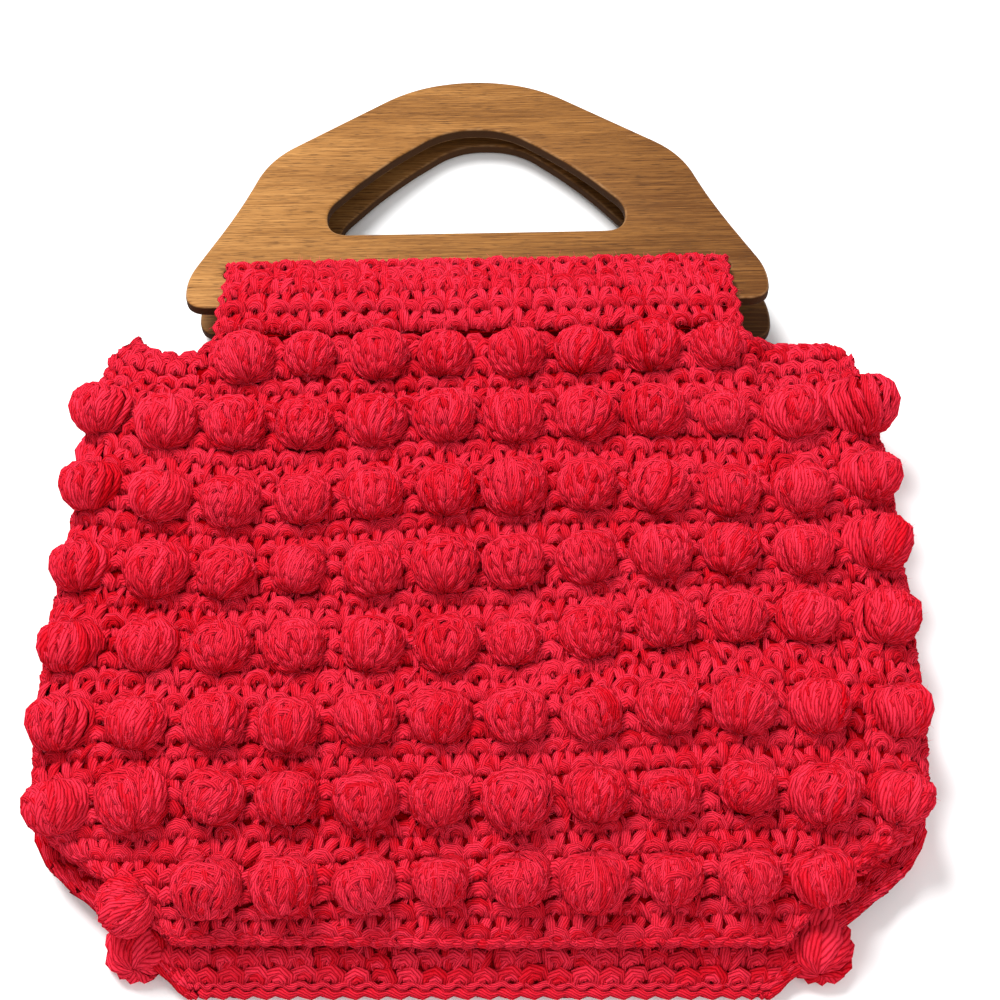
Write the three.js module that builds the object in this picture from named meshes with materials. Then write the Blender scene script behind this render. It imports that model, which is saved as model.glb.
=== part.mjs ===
// A crocheted bobble-stitch handbag on two plywood handles, lying on its back.
// Millimetres. X runs across the bag, +Y from its base to its handles, +Z up off the surface.
// While it is built, y = 0 is the mouth line, where each hem meets its panel.
import * as THREE from 'three';
import { mergeVertices } from 'three/addons/utils/BufferGeometryUtils.js';

// Fits
const clearance = 0.3; // running gap between pieces that touch
const mouthGap = 5; // free height between the two hems at their tops
const topGap = 0.6; // free height between the two handles at their tops

// Handle plates
const plateWidth = 211;
const plateHeight = 119;
const plateThick = 5;
const edgeRound = 1.2; // rounding of the plate's edges
const gripWidth = 115;
const gripHeight = 55;
const gripBase = 35.2; // from the plate's lower edge to the straight side of the grip hole
const barHeight = 14; // wood below the slot
const endWood = 12.5; // wood between each end of the slot and the plate's side
const slotEnd = 2.5; // slot length past each end of the hem
const slotCorner = 1.8; // corner setback of the slot

// Hems: the crochet sleeves that pass through the slots and close round the lower bars
const hemWidth = plateWidth - 2 * (endWood + slotEnd);
const hemLayer = 3.5; // thickness of one crochet layer
const hemCorner = 1.5; // corner setback of the sleeve's section
const frontTail = 15; // from the front handle's lower edge to the mouth line
const rearTail = 13; // the same at the rear handle

// Crochet body
const bobblePitch = 24; // between bobbles, across
const bobbleColumns = 12;
const bobbleRows = 8;
const bobbleHeight = 11; // how far a bobble stands off the cloth
const bobbleSpread = 0.47; // a bobble's radius as a share of the pitches
const sideSwell = 0.3; // how much taller the bobbles at the side seams stand, as a share
const sideLean = 1.6; // how far the bobbles at the side seams lean outwards
const fabricThick = 5.5;
const restLift = 7.5; // height of the rear cloth, on its flattened bobbles
const bellyHeight = 17; // rise of the front cloth above its side seams
const halfWidth = 156; // limit of the cloth either side of the middle
const turnPower = 18; // how sharply the cloth turns under at its limit
const sideStretch = 0.025; // how much wider the cloth is pulled at its side seams, as a share
const frontHeight = 215; // front panel, mouth line to lower edge
const rearHeight = 226; // rear panel, mouth line to the fold of the base
const shoulderGap = 2; // from the hem's end to where the cloth starts to fall to the shoulder
const shoulderDrop = 14; // width of that fall

// How each handle lies
const frontTurn = THREE.MathUtils.degToRad(1.25); // in its own plane
const frontShift = -1;
const rearTurn = THREE.MathUtils.degToRad(-0.4);
const rearShift = 1;

// Corners of the right half of a handle, from its lower edge up to its crown.
// out: share of half the width; up: share of the height; soft: corner setback, share of the height
const plateCorners = [
  { out: 1.005, up: 0.0, soft: 0.07 },
  { out: 1.01, up: 0.12, soft: 0.06 },
  { out: 0.845, up: 0.41, soft: 0.14 },
  { out: 0.752, up: 0.638, soft: 0.1 },
  { out: 0.235, up: 0.963, soft: 0.11 },
];
const crownSoft = 0.1; // the same setback at the top of the plate

// Corners of the right half of the grip hole, from its straight side up.
// out: share of half its width; up, soft: shares of its height
const gripCorners = [
  { out: 0.95, up: 0.0, soft: 0.13 },
  { out: 0.985, up: 0.23, soft: 0.12 },
  { out: 0.64, up: 0.64, soft: 0.3 },
  { out: 0.2, up: 1.0, soft: 0.19 },
];

// Front cloth, line by line from the mouth to the lower edge.
// row: bobble row; down: share of frontHeight; high: share of bellyHeight; wide: share of halfWidth
// skew: how much wider than that the right half is, and the left half narrower, the same share
// left, right, edge: how far the line lifts there, as a share of the row spacing
// tip: how far its right end drops and its left end lifts, the same share
const frontLines = [
  { row: 0.75, down: 0.0, high: 0.7, wide: 0.8, skew: 0.0, left: 0.0, right: 0.0, edge: 0.15, tip: 0.16 },
  { row: 1, down: 0.047, high: 0.74, wide: 0.855, skew: 0.0, left: 0.0, right: 0.08, edge: 0.28, tip: 0.14 },
  { row: 2, down: 0.17, high: 0.87, wide: 0.908, skew: 0.0, left: -0.17, right: 0.04, edge: 0.42, tip: 0.02 },
  { row: 3, down: 0.3, high: 1.0, wide: 0.94, skew: 0.016, left: -0.23, right: -0.05, edge: 0.4, tip: -0.12 },
  { row: 4, down: 0.43, high: 0.85, wide: 0.97, skew: 0.01, left: -0.13, right: 0.18, edge: 0.24, tip: -0.1 },
  { row: 5, down: 0.565, high: 0.84, wide: 1.0, skew: 0.006, left: -0.04, right: 0.36, edge: 0.16, tip: 0.0 },
  { row: 6, down: 0.686, high: 1.06, wide: 1.015, skew: 0.01, left: -0.1, right: 0.16, edge: 0.08, tip: 0.0 },
  { row: 7, down: 0.805, high: 0.88, wide: 0.945, skew: 0.008, left: 0.0, right: 0.1, edge: -0.08, tip: 0.0 },
  { row: 8, down: 0.915, high: 0.5, wide: 0.755, skew: 0.0, left: -0.12, right: 0.02, edge: 0.1, tip: 0.0 },
  { row: 8.75, down: 1.0, high: 0.0, wide: 0.63, skew: 0.0, left: 0.04, right: 0.02, edge: 0.5, tip: 0.0 },
];

// Rear cloth, lying on the surface. lift: share of restLift
const rearLines = [
  { row: 0.75, down: 0.0, lift: 1.0, wide: 0.82 },
  { row: 1.5, down: 0.094, lift: 1.0, wide: 0.885 },
  { row: 4, down: 0.406, lift: 1.0, wide: 0.97 },
  { row: 7, down: 0.781, lift: 1.0, wide: 0.955 },
  { row: 8, down: 0.906, lift: 1.0, wide: 0.75 },
  { row: 8.25, down: 0.9375, lift: 0.95, wide: 0.695 },
  { row: 8.75, down: 1.0, lift: 0.03, wide: 0.58 },
];

// A table's column as a smooth function of the row: cubic stretches with shared slopes.
function along(lines, column) {
  const slopeAt = (i) => {
    const before = lines[Math.max(i - 1, 0)];
    const after = lines[Math.min(i + 1, lines.length - 1)];
    return (after[column] - before[column]) / (after.row - before.row);
  };
  return (row) => {
    let i = 0;
    while (i < lines.length - 2 && row > lines[i + 1].row) i += 1;
    const span = lines[i + 1].row - lines[i].row;
    const t = (row - lines[i].row) / span;
    const t2 = t * t;
    const t3 = t2 * t;
    return (2 * t3 - 3 * t2 + 1) * lines[i][column]
      + (t3 - 2 * t2 + t) * span * slopeAt(i)
      + (3 * t2 - 2 * t3) * lines[i + 1][column]
      + (t3 - t2) * span * slopeAt(i + 1);
  };
}

const { smoothstep, clamp } = THREE.MathUtils;
const middleColumn = (bobbleColumns + 1) / 2;
const firstRow = frontLines[0].row;
const lastRow = frontLines.at(-1).row;

// The cloth's width holds its nominal place, a little stretched at the seams, and turns under
// as it nears its limit.
function clothAcross(column, half) {
  const side = (column - middleColumn) / (bobbleColumns / 2);
  const nominal = (column - middleColumn) * bobblePitch * (1 + sideStretch * side ** 8);
  const reach = Math.abs(nominal) / half;
  return nominal / (1 + reach ** turnPower) ** (1 / turnPower);
}

// Share of a bobble's height at a place in the row and column grid: a dome on each crossing.
function bobbleShare(column, row) {
  const nearColumn = Math.round(column);
  const nearRow = Math.round(row);
  const inRows = nearRow >= 1 && nearRow <= bobbleRows;
  const inColumns = nearColumn >= 1 && nearColumn <= bobbleColumns;
  const fromMiddle = Math.abs(nearColumn - middleColumn) * bobblePitch;
  const besideHem = nearRow === 1 && fromMiddle > hemWidth / 2;
  if (!inRows || !inColumns || besideHem) return 0;
  const away = Math.hypot(column - nearColumn, row - nearRow) / bobbleSpread;
  return Math.sqrt(Math.max(0, 1 - away * away));
}

const frontDown = along(frontLines, 'down');
const frontHigh = along(frontLines, 'high');
const frontWide = along(frontLines, 'wide');
const frontLeft = along(frontLines, 'left');
const frontRight = along(frontLines, 'right');
const frontEdge = along(frontLines, 'edge');
const frontSkew = along(frontLines, 'skew');
const frontTip = along(frontLines, 'tip');
const rearDown = along(rearLines, 'down');
const rearLift = along(rearLines, 'lift');
const rearWide = along(rearLines, 'wide');
const rowSpacing = frontHeight / (lastRow - firstRow);

// The front cloth's outer side without its bobbles.
function frontCloth(column, row) {
  const hand = Math.sign(column - middleColumn);
  const x = clothAcross(column, halfWidth * (frontWide(row) + hand * frontSkew(row)));
  const side = Math.min(1, Math.abs(column - middleColumn) / (bobbleColumns / 2));
  const leftBump = Math.exp(-(((column - 3.5) / 2) ** 2));
  const rightRise = smoothstep(column, middleColumn, 10);
  const edgeRise = clamp((side - 2 / 3) * 3, 0, 1) ** 1.5;
  const lift = frontLeft(row) * leftBump + frontRight(row) * rightRise
    + (frontEdge(row) - hand * frontTip(row)) * edgeRise;
  const atTop = 1 - smoothstep(row, firstRow, firstRow + 1.2);
  const y = -frontHeight * frontDown(row) + rowSpacing * lift
    + (x - frontShift) * Math.tan(frontTurn) * atTop;
  const roundFall = Math.sqrt(1 - side ** 5);
  const fallStart = hemWidth / 2 + shoulderGap;
  const fromHem = Math.abs(x - frontShift);
  const shoulderFall = 1 - 0.9 * smoothstep(fromHem, fallStart, fallStart + shoulderDrop);
  const fall = roundFall + (Math.min(roundFall, shoulderFall) - roundFall) * atTop;
  const seat = restLift + fabricThick + clearance;
  const z = seat + fabricThick + bellyHeight * frontHigh(row) * fall;
  return new THREE.Vector3(x, y, z);
}

// How far towards a side seam a column lies, from -1 to 1, held near 0 until the last column.
function nearSeam(column) {
  const side = (column - middleColumn) / (bobbleColumns / 2);
  return Math.sign(side) * Math.abs(side) ** 8;
}

// The front cloth with its bobbles raised along its normal, and outwards at the side seams.
function frontOuter(column, row) {
  const point = frontCloth(column, row);
  const seam = nearSeam(column);
  const height = bobbleHeight * bobbleShare(column, row) * (1 + sideSwell * Math.abs(seam));
  if (height === 0) return point;
  const step = 0.2;
  const acrossWay = frontCloth(column + step, row).sub(frontCloth(column - step, row));
  const downWay = frontCloth(column, row + step).sub(frontCloth(column, row - step));
  const way = downWay.cross(acrossWay).normalize();
  way.x += sideLean * seam;
  return point.addScaledVector(way.normalize(), height);
}

function frontInner(column, row) {
  const point = frontCloth(column, row);
  point.z -= fabricThick;
  return point;
}

// The rear cloth: its upper side is smooth, its bobbles are pressed flat on the surface.
function rearInner(column, row) {
  const x = clothAcross(column, halfWidth * rearWide(row));
  const y = -rearHeight * rearDown(row)
    + (x - rearShift) * Math.tan(rearTurn) * (1 - smoothstep(row, firstRow, firstRow + 1.2));
  return new THREE.Vector3(x, y, restLift * rearLift(row) + fabricThick);
}

function rearOuter(column, row) {
  const point = rearInner(column, row);
  const lean = Math.atan(sideLean * nearSeam(column));
  const height = bobbleHeight * bobbleShare(column, row);
  point.x += height * Math.sin(lean);
  point.z = Math.max(0, point.z - fabricThick - height * Math.cos(lean));
  return point;
}

// A closed sheet over the bobble grid: four cells to a pitch outside, two inside, and a rim between.
function sheetSolid(outerAt, innerAt, facesUp) {
  const across = bobbleColumns * 2;
  const down = (lastRow - firstRow) * 2;
  const positions = [];
  const addGrid = (pointAt, columns, rows) => {
    const start = positions.length / 3;
    for (let j = 0; j <= rows; j += 1) {
      for (let i = 0; i <= columns; i += 1) {
        const column = 0.5 + (bobbleColumns * i) / columns;
        const row = firstRow + ((lastRow - firstRow) * j) / rows;
        positions.push(...pointAt(column, row).toArray());
      }
    }
    return (i, j) => start + j * (columns + 1) + i;
  };
  const fine = addGrid(outerAt, across * 2, down * 2);
  const coarse = addGrid(innerAt, across, down);
  const faces = [];
  const addQuads = (at, columns, rows, outside) => {
    for (let j = 0; j < rows; j += 1) {
      for (let i = 0; i < columns; i += 1) {
        const ring = [at(i, j), at(i, j + 1), at(i + 1, j + 1), at(i + 1, j)];
        if (!outside) ring.reverse();
        if ((i + j) % 2 === 1) ring.push(ring.shift());
        faces.push([ring[0], ring[1], ring[2]], [ring[0], ring[2], ring[3]]);
      }
    }
  };
  addQuads(fine, across * 2, down * 2, true);
  addQuads(coarse, across, down, false);
  const addRim = (fineAt, coarseAt, count) => {
    for (let k = 0; k < count; k += 1) {
      const [a, b, c] = [fineAt(2 * k), fineAt(2 * k + 1), fineAt(2 * k + 2)];
      const [d, e] = [coarseAt(k), coarseAt(k + 1)];
      faces.push([a, b, d], [b, e, d], [b, c, e]);
    }
  };
  addRim((k) => fine(k, 0), (k) => coarse(k, 0), across);
  addRim((k) => fine(2 * across, k), (k) => coarse(across, k), down);
  addRim((k) => fine(2 * across - k, 2 * down), (k) => coarse(across - k, down), across);
  addRim((k) => fine(0, 2 * down - k), (k) => coarse(0, down - k), down);
  const geometry = new THREE.BufferGeometry();
  geometry.setAttribute('position', new THREE.Float32BufferAttribute(positions, 3));
  geometry.setIndex(faces.flatMap((face) => (facesUp ? face : face.toReversed())));
  geometry.computeVertexNormals();
  return geometry;
}

// A closed outline through corners, each corner replaced by a curve that starts one setback away.
function softOutline(path, corners) {
  corners.forEach((corner, i) => {
    const before = corners[(i + corners.length - 1) % corners.length];
    const after = corners[(i + 1) % corners.length];
    const point = new THREE.Vector2(corner.x, corner.y);
    const setback = (other) => {
      const way = new THREE.Vector2(other.x, other.y).sub(point);
      return point.clone().add(way.setLength(Math.min(corner.soft, way.length() * 0.49)));
    };
    const start = setback(before);
    const end = setback(after);
    if (i === 0) path.moveTo(start.x, start.y);
    else path.lineTo(start.x, start.y);
    path.quadraticCurveTo(point.x, point.y, end.x, end.y);
  });
  path.closePath();
  return path;
}

// Right-half corners and their mirror images, in order round the outline.
function bothHalves(halfCorners, topCorner) {
  const mirrored = halfCorners.toReversed().map((corner) => ({ ...corner, x: -corner.x }));
  return [...halfCorners, ...topCorner, ...mirrored];
}

// A handle: an arched plate with a grip hole and, above its lower bar, a slot for the hem.
function handleGeometry() {
  const outline = bothHalves(
    plateCorners.map(({ out, up, soft }) => ({
      x: (out * plateWidth) / 2, y: up * plateHeight, soft: soft * plateHeight,
    })),
    [{ x: 0, y: plateHeight, soft: crownSoft * plateHeight }],
  );
  const grip = bothHalves(
    gripCorners.map(({ out, up, soft }) => ({
      x: (out * gripWidth) / 2, y: gripBase + up * gripHeight, soft: soft * gripHeight,
    })),
    [],
  );
  const slotHalf = plateWidth / 2 - endWood;
  const slotTop = barHeight + hemLayer + 2 * clearance;
  const slot = bothHalves([
    { x: slotHalf, y: barHeight, soft: slotCorner },
    { x: slotHalf, y: slotTop, soft: slotCorner },
  ], []);
  const shape = softOutline(new THREE.Shape(), outline);
  shape.holes.push(softOutline(new THREE.Path(), grip), softOutline(new THREE.Path(), slot));
  const geometry = new THREE.ExtrudeGeometry(shape, {
    depth: plateThick - 2 * edgeRound,
    curveSegments: 5,
    bevelThickness: edgeRound,
    bevelSize: edgeRound,
    bevelOffset: -edgeRound,
    bevelSegments: 2,
  });
  geometry.translate(0, 0, edgeRound - plateThick);
  return closed(geometry);
}

// Only shared positions are kept, so that the faces join into one closed body.
function closed(geometry) {
  geometry.deleteAttribute('normal');
  geometry.deleteAttribute('uv');
  const merged = mergeVertices(geometry, 1e-4);
  merged.computeVertexNormals();
  return merged;
}

// A hem: the section of a sleeve closed round the lower bar, with a tail down to its panel.
// lean: how far the handle's top tips down; face: height of its front face at its lower edge.
function hemGeometry(lean, face, tail, tailLow) {
  const onPlate = (up, out, soft) => ({
    x: up * Math.cos(lean) + out * Math.sin(lean),
    y: Math.max(0, face - up * Math.sin(lean) + out * Math.cos(lean)),
    soft,
  });
  const sleeveTop = barHeight + clearance + hemLayer;
  const over = clearance + hemLayer;
  const under = plateThick + clearance + hemLayer;
  const section = softOutline(new THREE.Shape(), [
    onPlate(sleeveTop, over, hemCorner),
    onPlate(-clearance - hemLayer / 2, over, hemCorner),
    { x: clearance - tail, y: tailLow + fabricThick, soft: 0.2 },
    { x: clearance - tail, y: tailLow, soft: 0.2 },
    onPlate(-clearance - hemLayer / 2, -under, hemCorner),
    onPlate(sleeveTop, -under, hemCorner),
  ]);
  section.holes.push(softOutline(new THREE.Path(), [
    onPlate(barHeight + clearance, clearance, hemCorner / 3),
    onPlate(-clearance, clearance, hemCorner / 3),
    onPlate(-clearance, -plateThick - clearance, hemCorner / 3),
    onPlate(barHeight + clearance, -plateThick - clearance, hemCorner / 3),
  ]));
  const geometry = new THREE.ExtrudeGeometry(section, {
    depth: hemWidth, steps: 1, curveSegments: 3, bevelEnabled: false,
  });
  geometry.translate(0, 0, -hemWidth / 2);
  geometry.applyMatrix4(new THREE.Matrix4().makeBasis(
    new THREE.Vector3(0, 1, 0),
    new THREE.Vector3(0, 0, 1),
    new THREE.Vector3(1, 0, 0),
  ));
  return closed(geometry);
}

// Heights of the handles: the rear one lies on its hem and its top edge, the front one on the
// rear hem's front layer, the mouth gap and its own hem, with its top just clear of the other.
const hemStack = clearance + hemLayer;
const bevelTop = plateHeight - edgeRound;
const rearFace = hemStack + plateThick;
const rearLean = Math.asin(hemStack / bevelTop);
const sleeveReach = barHeight + hemStack;
const frontTopBack = plateThick + topGap;
const mouthFloor = rearFace + hemStack;
const mouthRoof = mouthFloor + mouthGap;
const frontLean = Math.atan((mouthRoof + hemStack - frontTopBack) / (bevelTop - sleeveReach));
const frontFace = frontTopBack + bevelTop * Math.sin(frontLean) + plateThick;

const wood = new THREE.MeshStandardMaterial({ color: 0xb98a52, roughness: 0.45, metalness: 0 });
const rearWood = new THREE.MeshStandardMaterial({ color: 0x9a6f45, roughness: 0.5, metalness: 0 });
const yarn = new THREE.MeshStandardMaterial({ color: 0xd81536, roughness: 0.95, metalness: 0 });
const rearYarn = new THREE.MeshStandardMaterial({ color: 0xc01030, roughness: 0.95, metalness: 0 });

function piece(name, geometry, material) {
  const mesh = new THREE.Mesh(geometry, material);
  mesh.name = name;
  return mesh;
}

// One handle with its hem, turned together in the plane of the surface.
function handleGroup(prefix, { lean, face, tail, tailLow, turn, shift }, woodMaterial, yarnMaterial) {
  const handle = piece(`${prefix}_handle`, handleGeometry(), woodMaterial);
  handle.rotation.x = -lean;
  handle.position.z = face;
  const hem = piece(`${prefix}_hem`, hemGeometry(lean, face, tail, tailLow), yarnMaterial);
  const group = new THREE.Group();
  group.add(handle, hem);
  group.rotation.z = turn;
  group.position.set(shift - tail * Math.sin(turn), tail, 0);
  return group;
}

const frontTop = handleGroup('front', {
  lean: frontLean,
  face: frontFace,
  tail: frontTail,
  tailLow: frontInner(middleColumn, firstRow).z,
  turn: frontTurn,
  shift: frontShift,
}, wood, yarn);
const rearTop = handleGroup('rear', {
  lean: rearLean,
  face: rearFace,
  tail: rearTail,
  tailLow: restLift,
  turn: rearTurn,
  shift: rearShift,
}, rearWood, rearYarn);

const contents = new THREE.Group();
contents.add(
  frontTop,
  rearTop,
  piece('front_panel', sheetSolid(frontOuter, frontInner, true), yarn),
  piece('rear_panel', sheetSolid(rearOuter, rearInner, false), rearYarn),
);

// The origin is the middle of the bag's footprint, on the surface it lies on.
contents.updateMatrixWorld(true);
const extent = new THREE.Box3().setFromObject(contents, true);
const middle = extent.getCenter(new THREE.Vector3());
contents.position.set(-middle.x, -middle.y, -extent.min.z);

const bag = new THREE.Group();
bag.name = 'wooden_handle_bag';
bag.add(contents);

export default bag;
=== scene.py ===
import math
import bpy
import numpy as np
from mathutils.geometry import tessellate_polygon
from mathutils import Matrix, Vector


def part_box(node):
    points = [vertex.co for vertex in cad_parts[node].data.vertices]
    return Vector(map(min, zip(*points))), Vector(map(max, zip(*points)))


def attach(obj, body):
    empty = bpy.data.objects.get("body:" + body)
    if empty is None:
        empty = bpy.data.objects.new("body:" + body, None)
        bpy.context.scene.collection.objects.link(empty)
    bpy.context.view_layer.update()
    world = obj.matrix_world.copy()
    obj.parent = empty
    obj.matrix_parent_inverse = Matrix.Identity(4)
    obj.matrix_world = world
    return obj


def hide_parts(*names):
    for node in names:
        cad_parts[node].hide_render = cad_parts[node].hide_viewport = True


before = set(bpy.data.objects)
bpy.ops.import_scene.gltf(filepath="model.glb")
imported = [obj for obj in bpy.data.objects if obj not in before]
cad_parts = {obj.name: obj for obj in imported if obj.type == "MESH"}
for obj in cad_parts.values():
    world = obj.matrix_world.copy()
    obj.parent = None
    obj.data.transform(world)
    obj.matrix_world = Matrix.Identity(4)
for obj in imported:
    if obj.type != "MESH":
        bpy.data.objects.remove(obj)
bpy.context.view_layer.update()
mm = 0.001               # all lengths below are millimetres until a mesh is filled
rng = np.random.default_rng(41)
print("frame loaded")


# Sums and curves that every piece uses

def unit(v):
    # v divided by its own length
    return v / np.maximum(np.linalg.norm(v, axis=-1, keepdims=True), 1e-9)


def smoothStep(x, low, high):
    # 3t^2 - 2t^3, with t the share of the way from low to high
    t = np.clip((x - low) / (high - low), 0, 1)
    return t * t * (3 - 2 * t)


def along(lines, name, row):
    # cubic stretches through the table's column, each line's slope the chord between its neighbours
    at, value = np.array(lines["row"]), np.array(lines[name])
    order = np.arange(len(at))
    before, after = np.maximum(order - 1, 0), np.minimum(order + 1, len(at) - 1)
    slope = (value[after] - value[before]) / (at[after] - at[before])
    i = np.clip(np.searchsorted(at, row) - 1, 0, len(at) - 2)
    span = at[i + 1] - at[i]
    t = (row - at[i]) / span
    return ((2 * t**3 - 3 * t**2 + 1) * value[i] + (t**3 - 2 * t**2 + t) * span * slope[i]
            + (3 * t**2 - 2 * t**3) * value[i + 1] + (t**3 - t**2) * span * slope[i + 1])


# The cloth: two panels over one grid of bobbles, as the frame's solids have them

bag = {
    "pitch": 24.0, "columns": 12, "rows": 8, "firstRow": 0.75, "lastRow": 8.75,
    "frontHeight": 215.0, "rearHeight": 226.0, "halfWidth": 156.0, "turnPower": 18,
    "seamPower": 8, "sideStretch": 0.025, "sideLean": 1.6, "sideSwell": 0.3,
    "belly": 17.0, "bellyPower": 5, "thick": 5.5, "restLift": 7.5, "gap": 0.3,
    "hemWidth": 181.0, "shoulderGap": 2.0, "shoulderDrop": 14.0, "shoulderFall": 0.9,
    "topRows": 1.2,                                    # rows over which the hem's shape dies out
    "sagColumn": 3.5, "sagWidth": 2.0, "riseColumn": 10, "edgeFrom": 2 / 3, "edgePower": 1.5,
    "frontTurn": math.radians(1.25), "frontShift": -1.0,
    "rearTurn": math.radians(-0.4), "rearShift": 1.0,
}
# down: share of the height; high: of the belly; wide and skew: of the half width; the others: of a row
frontLines = {
    "row": [0.75, 1, 2, 3, 4, 5, 6, 7, 8, 8.75],
    "down": [0.0, 0.047, 0.17, 0.3, 0.43, 0.565, 0.686, 0.805, 0.915, 1.0],
    "high": [0.7, 0.74, 0.87, 1.0, 0.85, 0.84, 1.06, 0.88, 0.5, 0.0],
    "wide": [0.8, 0.855, 0.908, 0.94, 0.97, 1.0, 1.015, 0.945, 0.755, 0.63],
    "skew": [0.0, 0.0, 0.0, 0.016, 0.01, 0.006, 0.01, 0.008, 0.0, 0.0],
    "left": [0.0, 0.0, -0.17, -0.23, -0.13, -0.04, -0.1, 0.0, -0.12, 0.04],
    "right": [0.0, 0.08, 0.04, -0.05, 0.18, 0.36, 0.16, 0.1, 0.02, 0.02],
    "edge": [0.15, 0.28, 0.42, 0.4, 0.24, 0.16, 0.08, -0.08, 0.1, 0.5],
    "tip": [0.16, 0.14, 0.02, -0.12, -0.1, 0.0, 0.0, 0.0, 0.0, 0.0],
}
# lift: share of the rest lift; down and wide as in front
rearLines = {
    "row": [0.75, 1.5, 4, 7, 8, 8.25, 8.75],
    "down": [0.0, 0.094, 0.406, 0.781, 0.906, 0.9375, 1.0],
    "lift": [1.0, 1.0, 1.0, 1.0, 1.0, 0.95, 0.03],
    "wide": [0.82, 0.885, 0.97, 0.955, 0.75, 0.695, 0.58],
}
middleColumn = (bag["columns"] + 1) / 2
rowSpacing = bag["frontHeight"] / (bag["lastRow"] - bag["firstRow"])
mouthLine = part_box("rear_panel")[0][1] / mm + bag["rearHeight"]
seat = bag["restLift"] + bag["thick"] + bag["gap"]


def sideShare(column):
    # -1 at the left seam, 0 in the middle, 1 at the right seam
    return (column - middleColumn) / (bag["columns"] / 2)


def clothAcross(column, half):
    # nominal place n, a little stretched at the seams, held within the half width by
    # n / (1 + |n/half|^p)^(1/p)
    power = bag["turnPower"]
    stretched = 1 + bag["sideStretch"] * sideShare(column)**bag["seamPower"]
    nominal = (column - middleColumn) * bag["pitch"] * stretched
    return nominal / (1 + (np.abs(nominal) / half)**power)**(1 / power)


def topShare(row):
    # 1 at the first row, 0 below the top rows
    return 1 - smoothStep(row, bag["firstRow"], bag["firstRow"] + bag["topRows"])


def frontCloth(column, row):
    # outer side of the front panel: y falls by the table, with a sag on the left, a rise on the right and
    # at the edges, and the hem's turn at the top; z is seat + thickness + belly high sqrt(1 - |side|^5)
    side = np.minimum(1, np.abs(sideShare(column)))
    hand = np.sign(column - middleColumn)
    wide = along(frontLines, "wide", row) + hand * along(frontLines, "skew", row)
    x = clothAcross(column, bag["halfWidth"] * wide)
    sag = np.exp(-(((column - bag["sagColumn"]) / bag["sagWidth"])**2))
    edge = np.clip((side - bag["edgeFrom"]) / (1 - bag["edgeFrom"]), 0, 1)**bag["edgePower"]
    lift = (along(frontLines, "left", row) * sag
            + along(frontLines, "right", row) * smoothStep(column, middleColumn, bag["riseColumn"])
            + (along(frontLines, "edge", row) - hand * along(frontLines, "tip", row)) * edge)
    y = (mouthLine - bag["frontHeight"] * along(frontLines, "down", row) + rowSpacing * lift
         + (x - bag["frontShift"]) * math.tan(bag["frontTurn"]) * topShare(row))
    fallStart = bag["hemWidth"] / 2 + bag["shoulderGap"]
    beside = smoothStep(np.abs(x - bag["frontShift"]), fallStart, fallStart + bag["shoulderDrop"])
    fall = np.sqrt(1 - side**bag["bellyPower"])
    fall = fall + (np.minimum(fall, 1 - bag["shoulderFall"] * beside) - fall) * topShare(row)
    return np.stack([x, y, seat + bag["thick"] + bag["belly"] * along(frontLines, "high", row) * fall], -1)


def rearInside(column, row):
    # upper side of the rear panel: z = rest lift x lift + thickness, level but for the base, where it
    # comes down to the surface
    x = clothAcross(column, bag["halfWidth"] * along(rearLines, "wide", row))
    y = (mouthLine - bag["rearHeight"] * along(rearLines, "down", row)
         + (x - bag["rearShift"]) * math.tan(bag["rearTurn"]) * topShare(row))
    return np.stack([x, y, bag["restLift"] * along(rearLines, "lift", row) + bag["thick"]], -1)


def lowered(cloth, depth):
    # the same cloth moved straight down
    return lambda column, row: cloth(column, row) - np.array([0, 0, depth])


rearCloth = lowered(rearInside, bag["thick"])


def clothFrame(surface, column, row, flip=1):
    # place, way across, way down and way out, the last as down x across from small central differences
    step = 0.02
    across = unit(surface(column + step, row) - surface(column - step, row))
    down = unit(surface(column, row + step) - surface(column, row - step))
    out = unit(np.cross(down, across)) * flip
    return surface(column, row), across, down, out


# Meshes: every piece is built from grids of points, joined and written in one go

def addObject(name, data):
    thing = bpy.data.objects.new(name, data)
    bpy.context.scene.collection.objects.link(thing)
    return thing


def ringFaces(rings, count):
    # four-sided faces between closed rings of points that follow one another
    j, i = np.meshgrid(np.arange(rings - 1), np.arange(count), indexing="ij")
    following = (i + 1) % count
    corners = [j * count + i, j * count + following, (j + 1) * count + following, (j + 1) * count + i]
    return np.stack(corners, -1).reshape(-1, 4)


def cornerUv(*corners):
    # (length, share of the way round) of each corner, for all the faces at once
    return np.stack([np.stack(np.broadcast_arrays(*corner), -1) for corner in corners], -2)


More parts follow.
